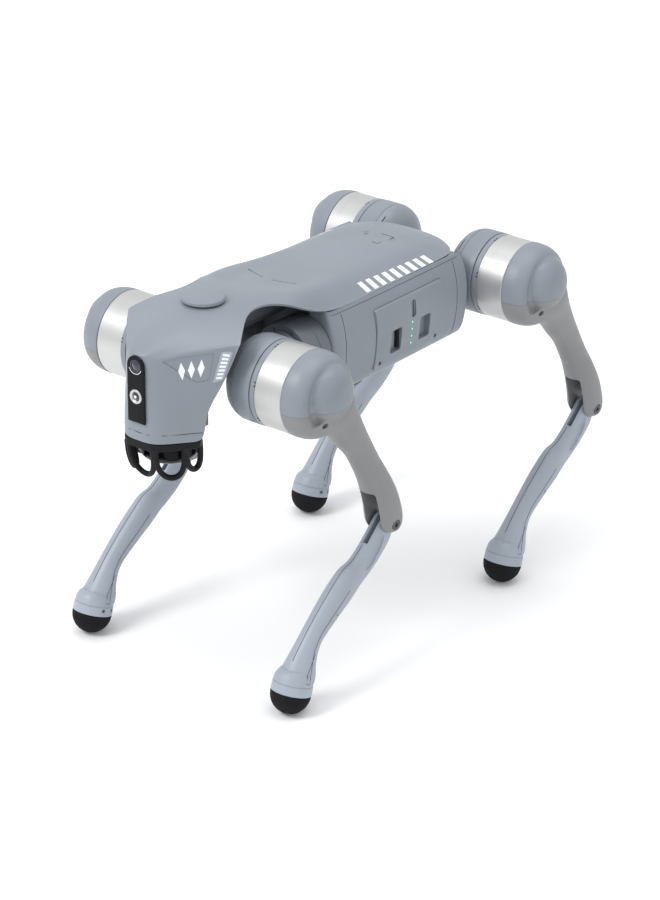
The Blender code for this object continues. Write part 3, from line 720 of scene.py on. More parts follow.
def pair_marks():
    """Pairs of small dark slots round the seam between the painted band and the bright ring."""
    marks = []
    for angle in (18, 78, 142, 205, 268, 325):
        for offset in (-2.4, 2.4):
            turn = math.radians(angle + offset)
            middle = Vector((math.cos(turn) * 0.0469, RING_START - 0.0006, math.sin(turn) * 0.0469))
            mark = block("mark", (-0.0005, -0.0009, -0.0006), (0.0005, 0.0009, 0.0006), 0.0002)
            marks.append(placed(mark, middle, Matrix.Rotation(-turn, 4, "Y")))
    return marks


def joined(name, shapes):
    """Several separate shapes as one mesh."""
    work = bmesh.new()
    for shape in shapes:
        work.from_mesh(shape.data)
        bpy.data.objects.remove(shape, do_unlink=True)
    return closed(work, make_object(name, bpy.data.meshes.new(name)))


def socket_screw(name, radius, height, hex_radius, depth=0.0012):
    """A socket head screw about Z with its top at the origin."""
    profile = [(0, -height), (radius, -height), (radius, -0.0004), (radius - 0.0004, 0), (0, 0)]
    body = turned(name, profile, 28)
    return carved(body, loft("hex", [circle(hex_radius, level, 6) for level in (-depth, 0.001)]))


def calf_shapes():
    """The shank with its foot collar, side pocket, rod slot and holes."""
    axis = Matrix.Translation((0, 0, -LINK)) @ Matrix.Rotation(math.radians(FOOT_TILT), 4, "Y")
    body = subdivided(limb("calf", CALF_KEYS, spaced(CALF_KEYS, 0.004), 48), 1)
    collar = turned(
        "collar",
        [
            (0.0, 0.0016),
            (0.0216, 0.0016),
            (0.0222, 0.0022),
            (0.0219, 0.0120),
            (0.0213, 0.0122),
            (0.0213, 0.0127),
            (0.0217, 0.0129),
            (0.0208, 0.0190),
            (0.0186, 0.0235),
            (0.0150, 0.0265),
            (0.0, 0.0265),
        ],
        64,
    )
    collar.data.transform(axis)
    body = carved(body, collar, operation="UNION")
    pocket_levels = ((-0.0032, 0.55), (-0.0022, 0.86), (0.0010, 1.0), (0.0100, 1.0))
    pocket = loft(
        "pocket",
        [oval(0, 0, 0.0078 * share, 0.0225 * share, 2.3, height) for height, share in pocket_levels],
    )
    spin = facing_left() @ Matrix.Rotation(math.radians(4), 4, "Z")
    placed(pocket, (-0.0015, 0.0094, -0.0360), spin)
    notch = block("notch", (0.0028, -0.0016, -0.0340), (0.0300, 0.0042, 0.0300))
    opening = block("opening", (-0.0030, -0.0016, 0.0052), (0.0300, 0.0042, 0.0300))
    pivot = bar("pivot", 0.0043, (0, -0.020, 0), (0, 0.020, 0))
    holes = []
    for x in (-0.0065, 0.0065):
        hole = bar("hole", 0.0021, (x, -0.030, 0.0085), (x, -0.0150, 0.0085), 20)
        hole.data.transform(axis)
        holes.append(hole)
    dimple = bar("dimple", 0.0011, (0.0110, 0.008, -0.1180), (0.0110, 0.030, -0.1180), 16)
    return carved(body, pocket, notch, opening, pivot, dimple, *holes)


def calf_lines(calf):
    """The moulding's seams, down both sides of the shank and down its front."""
    lines = []
    stations = (0.088, 0.105, 0.125, 0.145, 0.165, 0.185, 0.197)
    for way, y in (((0, -1, 0), 0.03), ((0, 1, 0), -0.03)):
        path = [(spline(CALF_KEYS, down)[0] + 0.0030, y, -down) for down in stations]
        end = path[-1]
        path += [(end[0] + 0.0015, y, end[2] - 0.0030), (end[0] + 0.0048, y, end[2] - 0.0026)]
        path += [(end[0] + 0.0060, y, end[2] + 0.0030), (end[0] + 0.0068, y, end[2] + 0.0300)]
        lines.append(seam("calf_line", calf, path, way, 0.00026))
    front = [(0.05, 0.0, -down) for down in (0.030, 0.050, 0.070, 0.090, 0.110, 0.130, 0.150, 0.170, 0.185)]
    lines.append(seam("calf_line", calf, front, (-1, 0, 0), 0.00026))
    return joined("calf_lines", lines)


def foot_shape():
    profile = [(0.0, 0.0013), (0.0205, 0.0013), (0.0216, 0.0009), (0.0221, 0.0)]
    for angle in range(6, 90, 6):
        turn = math.radians(angle)
        profile.append((FOOT_RADIUS * math.cos(turn), -FOOT_RADIUS * math.sin(turn)))
    profile.append((0.0, -FOOT_RADIUS))
    foot = turned("foot", profile, 64)
    for vert in foot.data.vertices:
        if vert.co.length > 0.018 and vert.co.z < -0.001:
            ripple = 0.00010 * (noise.noise(vert.co * 450) - 0.6)
            vert.co += vert.co.normalized() * min(0.0, ripple)
    return placed(foot, (0, 0, -LINK), Matrix.Rotation(math.radians(FOOT_TILT), 4, "Y"))


def build_legs():
    """Makes each shape once, then copies it to the four legs."""
    thigh, cap = thigh_shapes()
    bracket = bracket_shapes()
    band, ring = motor_shapes()
    marks = joined("marks", pair_marks())
    calf = calf_shapes()
    lines = calf_lines(calf)
    foot = foot_shape()
    knee_screw = socket_screw("knee_screw", 0.0058, 0.0030, 0.0026)
    placed(knee_screw, (0, 0.0184, -LINK), facing_left())
    hip_screw = socket_screw("hip_screw", 0.0030, 0.0030, 0.0014)
    placed(hip_screw, (0.0230, 0.0058, -0.0145), facing_left())
    thigh_y = Matrix.Translation((0, LEG_Y - HIP_Y, 0))
    to_thigh = thigh_y @ Matrix.Rotation(math.radians(THIGH_ANGLE), 4, "Y")
    to_calf = to_thigh @ Matrix.Translation((0, 0, -LINK)) @ Matrix.Rotation(math.radians(KNEE_ANGLE), 4, "Y")
    level = Matrix.Identity(4)
    parts = [
        (bracket, "hip_bracket", "hip", level, SHELL, "shell_paint", ("hip_bracket",)),
        (ring, "thigh_motor_ring", "hip", thigh_y, SILVER, "motor_silver", ("thigh_motor",)),
        (band, "thigh_motor_band", "hip", thigh_y, SHELL, "shell_paint", ()),
        (marks, "thigh_motor_slots", "hip", thigh_y, SEAM, "dark_frame", ()),
        (cap, "thigh_cap", "upper_leg", to_thigh, SHELL, "shell_paint", ("thigh_cap",)),
        (thigh, "thigh", "upper_leg", to_thigh, THIGH_GREY, "thigh_paint", ("thigh",)),
        (knee_screw, "knee_screw", "upper_leg", to_thigh, SCREW, "steel", ("knee_pin",)),
        (hip_screw, "thigh_screw", "upper_leg", to_thigh, SCREW, "steel", ()),
        (calf, "calf", "lower_leg", to_calf, CALF, "calf_paint", ("calf",)),
        (lines, "calf_seams", "lower_leg", to_calf, SEAM, "dark_frame", ()),
        (foot, "foot", "lower_leg", to_calf, RUBBER, "rubber", ("foot",)),
    ]
    for leg, (front, side) in LEGS.items():
        hip = joint_at(leg + "_abduction")
        mirror = Matrix.Diagonal((1, side, 1, 1))
        for shape, label, body, place, look, slot, stands_for in parts:
            own = Matrix.Diagonal((front, 1, 1, 1)) if label == "hip_bracket" else level
            matrix = Matrix.Translation(hip) @ mirror @ place @ own
            made = copied(shape, f"{leg}_{label}_look", matrix)
            piece(made, f"{leg}_{body}", look, slot, [f"{leg}_{node}" for node in stands_for])
    for shape, *_ in parts:
        bpy.data.objects.remove(shape, do_unlink=True)


# ---- trunk, written in the trunk's frame --------------------------------------------------------

# Cage points across the head from its middle line outwards, in rows from the nose backwards.
HEAD_TOP = [
    [(0.3165, 0, 0.0500), (0.3165, 0.0085, 0.0496), (0.3165, 0.0118, 0.0475), (0.3165, 0.0130, 0.0430)],
    [(0.3000, 0, 0.0590), (0.3000, 0.0150, 0.0580), (0.3000, 0.0210, 0.0545), (0.3000, 0.0285, 0.0480)],
    [(0.2700, 0, 0.0690), (0.2700, 0.0200, 0.0675), (0.2700, 0.0370, 0.0610), (0.2700, 0.0545, 0.0535)],
    [(0.2441, 0, 0.0735), (0.2441, 0.0215, 0.0715), (0.2441, 0.0500, 0.0645), (0.2441, 0.0763, 0.0565)],
]
HEAD_LEVELS = (0.0150, -0.0100, -0.0300, -0.0470)
HEAD_SIDE = [
    [(0.3165, 0.0155), (0.3165, 0.0180), (0.3165, 0.0190), (0.3165, 0.0190)],
    [(0.3000, 0.0305), (0.3005, 0.0320), (0.3015, 0.0325), (0.3015, 0.0325)],
    [(0.2700, 0.0560), (0.2800, 0.0485), (0.2850, 0.0450), (0.2860, 0.0445)],
    [(0.2580, 0.0665), (0.2705, 0.0560), (0.2735, 0.0540), (0.2755, 0.0530)],
]
# x of a row across the back, z on its middle line, then (y, z) of three points outwards.
BACK = [
    (0.2206, 0.0762, 0.0220, 0.0748, 0.0430, 0.0715, 0.0618, 0.0672),
    (0.2033, 0.0765, 0.0220, 0.0752, 0.0380, 0.0728, 0.0515, 0.0698),
    (0.1850, 0.0757, 0.0215, 0.0744, 0.0340, 0.0730, 0.0465, 0.0712),
    (0.1650, 0.0742, 0.0210, 0.0730, 0.0350, 0.0722, 0.0500, 0.0703),
    (0.1450, 0.0712, 0.0210, 0.0700, 0.0400, 0.0705, 0.0605, 0.0652),
    (0.1340, 0.0697, 0.0220, 0.0688, 0.0520, 0.0738, 0.0700, 0.0590),
    (0.1000, 0.0665, 0.0370, 0.0655, 0.0585, 0.0705, 0.0765, 0.0445),
    (0.0500, 0.0640, 0.0440, 0.0636, 0.0550, 0.0598, 0.0760, 0.0440),
    (-0.0500, 0.0600, 0.0440, 0.0596, 0.0545, 0.0560, 0.0755, 0.0440),
    (-0.1000, 0.0570, 0.0430, 0.0566, 0.0540, 0.0538, 0.0740, 0.0440),
    (-0.1300, 0.0545, 0.0300, 0.0535, 0.0500, 0.0515, 0.0730, 0.0440),
    (-0.1480, 0.0490, 0.0220, 0.0480, 0.0340, 0.0470, 0.0450, 0.0440),
]
# x, the widest y and the z of the upper edge along the lower shell.
FLANK_STATIONS = [
    (0.1001, 0.0560, 0.0640),
    (0.1002, 0.0680, 0.0585),
    (0.1000, 0.0800, 0.0470),
    (0.0985, 0.0840, 0.0438),
    (0.0945, 0.0862, 0.0435),
    (0.0850, 0.0870, 0.0435),
    (0.0500, 0.0885, 0.0435),
    (-0.0500, 0.0885, 0.0435),
    (-0.1000, 0.0880, 0.0435),
    (-0.1280, 0.0878, 0.0430),
    (-0.1365, 0.0875, 0.0425),
]
GUARD_PLAN = [(0.3165, 0.0188), (0.3015, 0.0322), (0.2860, 0.0440), (0.2755, 0.0490), (0.2620, 0.0410)]


def cover_rows():
    rows = []
    for top, side in zip(HEAD_TOP, HEAD_SIDE):
        rows.append(top + [(x, y, z) for (x, y), z in zip(side, HEAD_LEVELS)])
    for x, z0, y1, z1, y2, z2, y3, z3 in BACK:
        rows.append([(x, 0, z0), (x, y1, z1), (x, y2, z2), (x, y3, z3)])
    return rows


def flank_rows():
    rows = []
    for x, widest, top in FLANK_STATIONS:
        side = [(0.0, -0.0635), (0.050, -0.0635), (widest * 0.88, -0.0570), (widest * 0.965, -0.0350)]
        side += [(widest, 0.0), (widest * 0.955, 0.0250), (widest * 0.872 - 0.0008, top + 0.0004)]
        rows.append([(x, y, z) for y, z in side])
    return rows


def mirrored_sheet(name, rows, extra=(), creases=()):
    """An open cage on both sides of the XZ plane, from rows of points on its left side."""
    points = []
    index = {}

    def vertex(point):
        key = tuple(round(value, 6) for value in point)
        if key not in index:
            index[key] = len(points)
            points.append(point)
        return index[key]

    quads = [list(quad) for quad in extra]
    for ahead, behind in zip(rows, rows[1:]):
        for column in range(min(len(ahead), len(behind)) - 1):
            quads.append([ahead[column], ahead[column + 1], behind[column + 1], behind[column]])
    faces = []
    for quad in quads:
        faces.append([vertex(point) for point in quad])
        faces.append([vertex((x, -y, z)) for x, y, z in reversed(quad)])
    made = mesh_object(name, points, faces)
    work = opened(made)
    layer = work.edges.layers.float.new("crease_edge")
    wanted = []
    for first, last, weight in creases:
        wanted.append((Vector(first), Vector(last), weight))
        wanted.append((*(Vector(point) for point in flipped([first, last])), weight))
    for edge in work.edges:
        near, far = (vert.co for vert in edge.verts)
        for first, last, weight in wanted:
            straight = (near - first).length + (far - last).length
            crossed = (far - first).length + (near - last).length
            if min(straight, crossed) < 1e-5:
                edge[layer] = weight
    return closed(work, made)


def walled(sheet):
    """The smooth shell that a cage of few points stands for, with its wall thickness."""
    sheet = subdivided(sheet, 3)
    modified(sheet, "SOLIDIFY", thickness=SHELL_WALL, offset=-1, use_even_offset=True)
    return bake(sheet)


def cover_shape():
    rows = cover_rows()
    front = rows[0]
    on_plane = [(point[0], 0.0, point[2]) for point in front]
    extra = [(front[0], front[1], front[2], on_plane[2])]
    for column in range(2, len(front) - 1):
        extra.append((front[column], front[column + 1], on_plane[column + 1], on_plane[column]))
    creases = [(rows[row][3], rows[row + 1][3], 0.62) for row in range(3)]
    creases += [(rows[row][2], rows[row + 1][2], 0.12) for row in range(3, 9)]
    return walled(mirrored_sheet("cover", rows, extra, creases))


def outward(outline, way, low, high):
    """A prism round an outline, from low to high along a direction."""
    way = Vector(way).normalized()
    rings = [[tuple(Vector(point) + way * level) for point in outline] for level in (low, high)]
    return loft("prism", rings)


def rounded(corners, radius, steps=4):
    """An outline in space with its corners rounded off."""
    result = []
    count = len(corners)
    for index in range(count):
        here = Vector(corners[index])
        before = Vector(corners[index - 1])
        after = Vector(corners[(index + 1) % count])
        reach = min(radius, (before - here).length * 0.45, (after - here).length * 0.45)
        start = here + (before - here).normalized() * reach
        end = here + (after - here).normalized() * reach
        for step in range(steps + 1):
            share = step / steps
            result.append(tuple(start * (1 - share) ** 2 + here * 2 * share * (1 - share) + end * share ** 2))
    return result


def flipped(points):
    return [(x, -y, z) for x, y, z in points]


def on_side(side, points):
    """Points of the left side, on either side of the trunk."""
    return points if side > 0 else flipped(points)


def cheek_way(side):
    """The direction in which marks are dropped onto the head's cheek."""
    return (-0.60, -0.79 * side, -0.12)


PANEL = [
    (0.3060, 0.0240, 0.0440),
    (0.2900, 0.0380, 0.0480),
    (0.2640, 0.0590, 0.0500),
    (0.2688, 0.0564, 0.0199),
    (0.2788, 0.0475, 0.0180),
]
FRONT_HIP_X = 0.1934
DOWN = (0, 0, -1)
ABOVE = 0.1  # a height over the whole trunk, from which points are dropped onto it
STRIP = [
    (0.2575, 0.0620, 0.0497),
    (0.2475, 0.0690, 0.0495),
    (0.2590, 0.0665, 0.0200),
    (0.2668, 0.0585, 0.0170),
]


def lerp(first, last, share):
    return Vector(first).lerp(Vector(last), share)


def on_panel(across, up):
    """A point on the number panel, from its lower front corner (0, 0) to its upper rear one (1, 1)."""
    bottom = lerp((0.2960, 0.0320, 0.0170), (0.2688, 0.0564, 0.0199), across)
    top = lerp((0.2985, 0.0300, 0.0450), (0.2650, 0.0580, 0.0490), across)
    return tuple(bottom.lerp(top, up))


def add(obj, body, look, slot=None, nodes=(), angle=35):
    """Moves a finished trunk shape to where the trunk stands and gives it its look."""
    obj.data.transform(TRUNK)
    return piece(obj, body, look, slot, nodes, angle)


def motor_room():
    """What each front thigh motor sweeps as its leg swings fully outwards."""
    room = []
    for side in (1, -1):
        hip = Vector((FRONT_HIP_X, side * HIP_Y, 0.0))
        for degrees in (30, 34, 38, 39):
            angle = math.radians(degrees)
            way = Vector((0.0, side * math.cos(angle), math.sin(angle)))
            room.append(bar("room", DRUM_RADIUS + 0.0011, hip + way * 0.020, hip + way * 0.110, 96))
    return room


def cut_cover(cover):
    """The cover with its number panels, slots and grooves cut, and room for the thigh motors."""
    for side in (1, -1):
        outline = surface_points(cover, on_side(side, rounded(PANEL, 0.003)), cheek_way(side))
        cover = carved(cover, outward(outline, (0.66, 0.75 * side, 0.0), -0.0007, 0.012))
    cutters = []
    for side in (1, -1):
        for x in (-0.0892, -0.0848):
            low = (x - 0.0006, side * 0.0185 - 0.0025, 0.0525)
            cutters.append(block("slot", low, (x + 0.0006, side * 0.0185 + 0.0025, 0.0800)))
    cutters += motor_room()
    for side in (1, -1):
        plan = [(0.1078, 0.0060), (0.1055, 0.0150), (0.1025, 0.0240), (0.0990, 0.0330)]
        path = [(x, side * y, ABOVE) for x, y in plan]
        cutters.append(seam("groove", cover, path, DOWN, 0.0011))
    return carved(cover, *cutters)


def cover_lines(cover):
    """Dark ends of the grooves, the lip round the chin and the bracket marks on the rear of the back."""
    lines = []
    for side in (1, -1):
        for plan in (((0.1078, 0.0062), (0.1068, 0.0102)), ((0.1007, 0.0285), (0.0991, 0.0328))):
            lines.append(seam("line", cover, [(x, side * y, ABOVE) for x, y in plan], DOWN, 0.00050))
        lip = [(0.3165, 0.0150, -0.0375), (0.3080, 0.0262, -0.0375)]
        lip += [(0.2930, 0.0388, -0.0375), (0.2760, 0.0525, -0.0375)]
        spots = surface_points(cover, on_side(side, lip), (-0.5, -0.86 * side, 0))
        lines.append(tube("lip", [(0.3167, 0.0, -0.0375), *spots], 0.00030, 2))
    for plan in (
        [(-0.0780, -0.0135), (-0.0850, -0.0135)],
        [(-0.0940, -0.0020), (-0.0940, 0.0160), (-0.0860, 0.0160)],
        [(-0.0700, 0.0160), (-0.0640, 0.0160), (-0.0640, 0.0080)],
    ):
        lines.append(seam("line", cover, [(x, y, ABOVE) for x, y in plan], DOWN, 0.00030))
    return joined("cover_lines", lines)


def cheek_marks(cover):
    """(marks, strips): the lozenges, the hatched bars and the strips that the bars are printed on."""
    marks = []
    for side in (1, -1):
        for index in range(3):
            middle = 0.24 + 0.25 * index
            corners = ((middle - 0.09, 0.50), (middle, 0.84), (middle + 0.09, 0.50), (middle, 0.16))
            diamond = on_side(side, [on_panel(across, up) for across, up in corners])
            marks.append(patch("mark", cover, diamond, cheek_way(side)))
    strips = []
    for side in (1, -1):
        way = cheek_way(side)
        strip = patch("strip", cover, on_side(side, rounded(STRIP, 0.0025)), way, 0.00030)
        modified(strip, "SOLIDIFY", thickness=0.0004, offset=0)
        strips.append(bake(strip))
        for index in range(7):
            low = 0.06 + index * 0.128
            hatch = []
            corners = ((0.20, low + 0.045), (0.82, low - 0.005), (0.82, low + 0.070), (0.20, low + 0.120))
            for across, up in corners:
                bottom = lerp(STRIP[3], STRIP[2], across)
                top = lerp(STRIP[0], STRIP[1], across)
                hatch.append(tuple(bottom.lerp(top, up)))
            marks.append(patch("bar", cover, on_side(side, hatch), way, 0.00062))
    return marks, strips


def shoulder_bars(cover):
    """The row of slanted bars along each shoulder."""
    bars = []
    for side in (1, -1):
        for index in range(9):
            x = 0.0300 - 0.0140 * index
            plan = [(x, 0.0742), (x - 0.0075, 0.0742), (x - 0.0045, 0.0625), (x + 0.0030, 0.0625)]
            corners = [(px, side * py, ABOVE) for px, py in plan]
            bars.append(patch("shoulder_bar", cover, corners, DOWN, 0.00014))
    return bars


def roof_rail():
    """The beam under the cover between the two front arches."""
    spine = [(0.1020, 0.0400), (0.1020, 0.0610), (0.1080, 0.0650), (0.1500, 0.0670)]
    spine += [(0.2350, 0.0695), (0.2480, 0.0670), (0.2520, 0.0400)]
    edge = [(0.0195, 0.0030), (0.0180, 0.0008), (0.0155, 0.0)]
    rings = []
    for y, low in [(-y, low) for y, low in edge] + edge[::-1]:
        rings.append([(x, y, z - (low if z > 0.05 else 0.0)) for x, z in spine])
    return loft("roof_rail", rings)


def build_cover():
    """The top cover from the nose to the tail, with what is printed on it."""
    cover = cut_cover(cover_shape())
    lines = cover_lines(cover)
    marks, strips = cheek_marks(cover)
    marks += shoulder_bars(cover)
    # The roof rail takes the darkened copy of the shell paint, a painted shade.
    add(roof_rail(), "trunk", INNER_SHADE, "dark_frame")
    add(joined("side_strips", strips), "trunk", CALF, "shell_paint")
    add(joined("side_marks", marks), "trunk", WHITE, "lamp_white")
    add(lines, "trunk", SEAM, "dark_frame")
    add(cover, "trunk", SHELL, "shell_paint", ("top_cover",), 32)


def build_lower_shell():
    """The belly and flanks, with the window for the battery and the panel lines."""
    shell = walled(mirrored_sheet("lower", flank_rows()))
    window_plan = rounded_box(-0.0899, 0.0299, -0.0434, 0.0274, 0.0030)
    shell = carved(shell, loft("window", [[(x, y, z) for x, z in window_plan] for y in (0.060, 0.110)]))
    lines = []
    for side in (1, -1):
        way = (0, -side, 0)
        path = [(x, side * 0.2, 0.0395) for x in (0.094, 0.06, 0.02, -0.03, -0.08, -0.128)]
        lines.append(seam("line", shell, path, way, 0.00022))
        for x in (-0.1180, 0.0800):
            path = [(x, side * 0.2, z) for z in (0.0380, 0.018, -0.005, -0.030, -0.052)]
            lines.append(seam("line", shell, path, way, 0.00026))
    add(joined("flank_lines", lines), "trunk", SEAM, "dark_frame")
    add(shell, "trunk", SHELL, "shell_paint", ("lower_shell",), 32)


def build_belly():
    """The black pan under the front of the trunk and the ribbed pad that it rests on."""
    rings = []
    for x, wide, deep, bottom in (
        (-0.010, 0.058, 0.054, -0.0660),
        (0.015, 0.059, 0.052, -0.0725),
        (0.040, 0.060, 0.050, -0.0780),
        (0.108, 0.058, 0.046, -0.0800),
    ):
        corners = [(x, -wide, -0.0640), (x, wide, -0.0640), (x, deep, bottom), (x, -deep, bottom)]
        rings.append(rounded(corners, 0.003, 3))
    pan = loft("belly_pan_look", rings)
    for x in (0.020, 0.060, 0.095):
        for y in (-0.034, 0.034):
            pan = carved(pan, bar("sink", 0.0028, (x, y, -0.0900), (x, y, -0.0745), 20))
    add(pan, "trunk", FRAME, "dark_frame", ("belly_pan",))
    ribs = []
    for index in range(7):
        x = -0.1010 + 0.0085 * index
        ribs.append(block("rib", (x, -0.037, -0.0703), (x + 0.0045, 0.037, -0.0698), 0.0002, 1))
    pad = block("belly_pad_look", (-0.105, -0.040, -0.0699), (-0.045, 0.040, -0.0640), 0.0015, 3)
    pad = joined("belly_pad_look", [pad] + ribs)
    add(pad, "trunk", RUBBER, "rubber", ("belly_pad",))


CAMERA_Z = 0.0370
HEADLIGHT_Z = 0.0030
SCANNER_X = 0.268


def rounded_box(low_x, high_x, low_z, high_z, radius, steps=5):
    """(x, z) points round a box with round corners, anticlockwise."""
    points = []
    corners = [
        (high_x - radius, low_z + radius, -90),
        (high_x - radius, high_z - radius, 0),
        (low_x + radius, high_z - radius, 90),
        (low_x + radius, low_z + radius, 180),
    ]
    for x, z, start in corners:
        for step in range(steps + 1):
            angle = math.radians(start + 90 * step / steps)
            points.append((x + radius * math.cos(angle), z + radius * math.sin(angle)))
    return points


def flank_y(z):
    """How far out the battery door's surface lies at a height."""
    keys = [(-0.0430, 0.0846), (-0.0200, 0.0872), (0.0, 0.0882), (0.0120, 0.0876), (0.0270, 0.0858)]
    return spline(keys, z)[0]


BUTTON_X = -0.0365
BUTTON_Z = (0.0035, 0.0155)  # the centres of the round ends of its outline
LATCHES = {"battery_latch_front": (-0.0060, -1), "battery_latch_rear": (-0.0575, 1)}
LIGHT_X = -0.0345
LIGHT_HEIGHTS = [-0.0056 - 0.00837 * index for index in range(4)]
SCREW_SPOTS = ((-0.0800, -0.0375), (0.0200, -0.0375))


def button_plan(half, radius):
    """(x, z) points round the button, or round its well, from half its width."""
    return rounded_box(BUTTON_X - half, BUTTON_X + half, BUTTON_Z[0] - half, BUTTON_Z[1] + half, radius, 8)


def slice_mesh(obj, level):
    """Adds a level row of edges, so that the surface can bend there."""
    work = opened(obj)
    geometry = work.verts[:] + work.edges[:] + work.faces[:]
    bmesh.ops.bisect_plane(work, geom=geometry, plane_co=(0, 0, level), plane_no=(0, 0, 1))
    closed(work, obj)


def battery_door():
    """The battery's outer wall, which follows the trunk's flank."""
    rings = []
    plan = rounded_box(-0.0894, 0.0294, -0.0429, 0.0269, 0.0028)
    for inset, depth in ((0.0, None), (0.0, 0.0012), (0.0002, 0.0004), (0.0007, 0.0)):
        ring = []
        for x, z in plan:
            x_in = x - math.copysign(inset, x + 0.03)
            z_in = z - math.copysign(inset, z + 0.008)
            y = 0.0600 if depth is None else flank_y(z_in) - depth
            ring.append((x_in, y, z_in))
        rings.append(ring)
    door = loft("door", rings, caps=False)
    work = opened(door)
    boundary = [edge for edge in work.edges if edge.is_boundary]
    bmesh.ops.holes_fill(work, edges=boundary, sides=0)
    bmesh.ops.triangulate(work, faces=[face for face in work.faces if len(face.verts) > 4])
    bmesh.ops.recalc_face_normals(work, faces=work.faces)
    closed(work, door)
    for step in range(14):
        slice_mesh(door, -0.0422 + 0.0052 * step)
    for vert in door.data.vertices:
        inner_x = min(vert.co.x + 0.0894, 0.0294 - vert.co.x)
        inner_z = min(vert.co.z + 0.0429, 0.0269 - vert.co.z)
        if vert.co.y > 0.08 and min(inner_x, inner_z) > 0.0006:
            vert.co.y = flank_y(vert.co.z)
    return door


def door_cutters():
    """Room in the door for the latches, the button, the lights and the screws."""
    cutters = []
    for x, way in LATCHES.values():
        plan = rounded_box(x - 0.0095, x + 0.0095, -0.0320, -0.0050, 0.0025)
        cutters.append(loft("recess", [[(px, y, pz) for px, pz in plan] for y in (0.0760, 0.1100)]))
        wall = x + way * 0.0095
        low, high = sorted((wall - way * 0.0010, wall + way * 0.0036))
        cutters.append(block("pocket", (low, 0.0762, -0.0305), (high, 0.0838, -0.0065)))
    plan = button_plan(0.0040, 0.0039)
    cutters.append(loft("well", [[(x, y, z) for x, z in plan] for y in (0.0800, 0.1100)]))
    for z in LIGHT_HEIGHTS:
        cutters.append(bar("led_hole", 0.0013, (LIGHT_X, 0.0850, z), (LIGHT_X, 0.0950, z), 16))
    for x, z in SCREW_SPOTS:
        cutters.append(bar("screw_hole", 0.0024, (x, flank_y(z) - 0.0010, z), (x, 0.1, z), 20))
    return cutters


def build_latches():
    """The two grooved pads that pinch to free the battery."""
    for name, (x, way) in LATCHES.items():
        wall = x + way * 0.0095
        face = wall - way * 0.0035
        low, high = sorted((face, wall + way * 0.0008))
        pad = block(name + "_look", (low, 0.0765, -0.0302), (high, 0.0835, -0.0068), 0.0006, 3)
        grooves = []
        low, high = sorted((face - way * 0.0002, face + way * 0.0006))
        for index in range(5):
            z = -0.0262 + 0.0038 * index
            grooves.append(block("groove", (low, 0.0760, z), (high, 0.0840, z + 0.0010)))
        body = "latch_front" if name.endswith("front") else "latch_rear"
        add(carved(pad, *grooves), body, FRAME, "dark_frame", (name,))


def build_battery():
    """The battery with its door, lights and screws, then the button and the latches on it."""
    door = battery_door()
    core = block("core", (-0.0860, -0.0520, -0.0390), (0.0260, 0.0800, 0.0230), 0.002)
    door = carved(door, *door_cutters())
    pack = joined("battery_pack_look", [door, core])
    add(pack, "battery", SHELL, "shell_paint", ("battery_pack",), 28)
    screws = []
    for x, z in SCREW_SPOTS:
        screw = socket_screw("screw", 0.0022, 0.0022, 0.0010, 0.0007)
        screws.append(placed(screw, (x, flank_y(z) - 0.0003, z), facing_left()))
    add(joined("battery_screws", screws), "battery", SCREW, "steel")
    lights = []
    for z in LIGHT_HEIGHTS:
        lamp = turned("led", [(0, 0), (0.0012, 0), (0.0012, 0.0024), (0.0009, 0.0029), (0, 0.0031)], 20)
        lights.append(placed(lamp, (LIGHT_X, flank_y(z) - 0.0030, z), facing_left()))
    add(joined("battery_leds", lights), "battery", GREEN, "lamp_white")
    rings = []
    for inset, y in ((0.0, 0.0815), (0.0, 0.0862), (0.0003, 0.0867), (0.0007, 0.0868)):
        ring = []
        for x, z in button_plan(0.0036, 0.0035):
            ring.append((x - math.copysign(inset, x - BUTTON_X), y, z - math.copysign(inset, z - 0.0095)))
        rings.append(ring)
    add(loft("power_button_look", rings), "button", DRUM, "dark_frame", ("power_button",))
    build_latches()


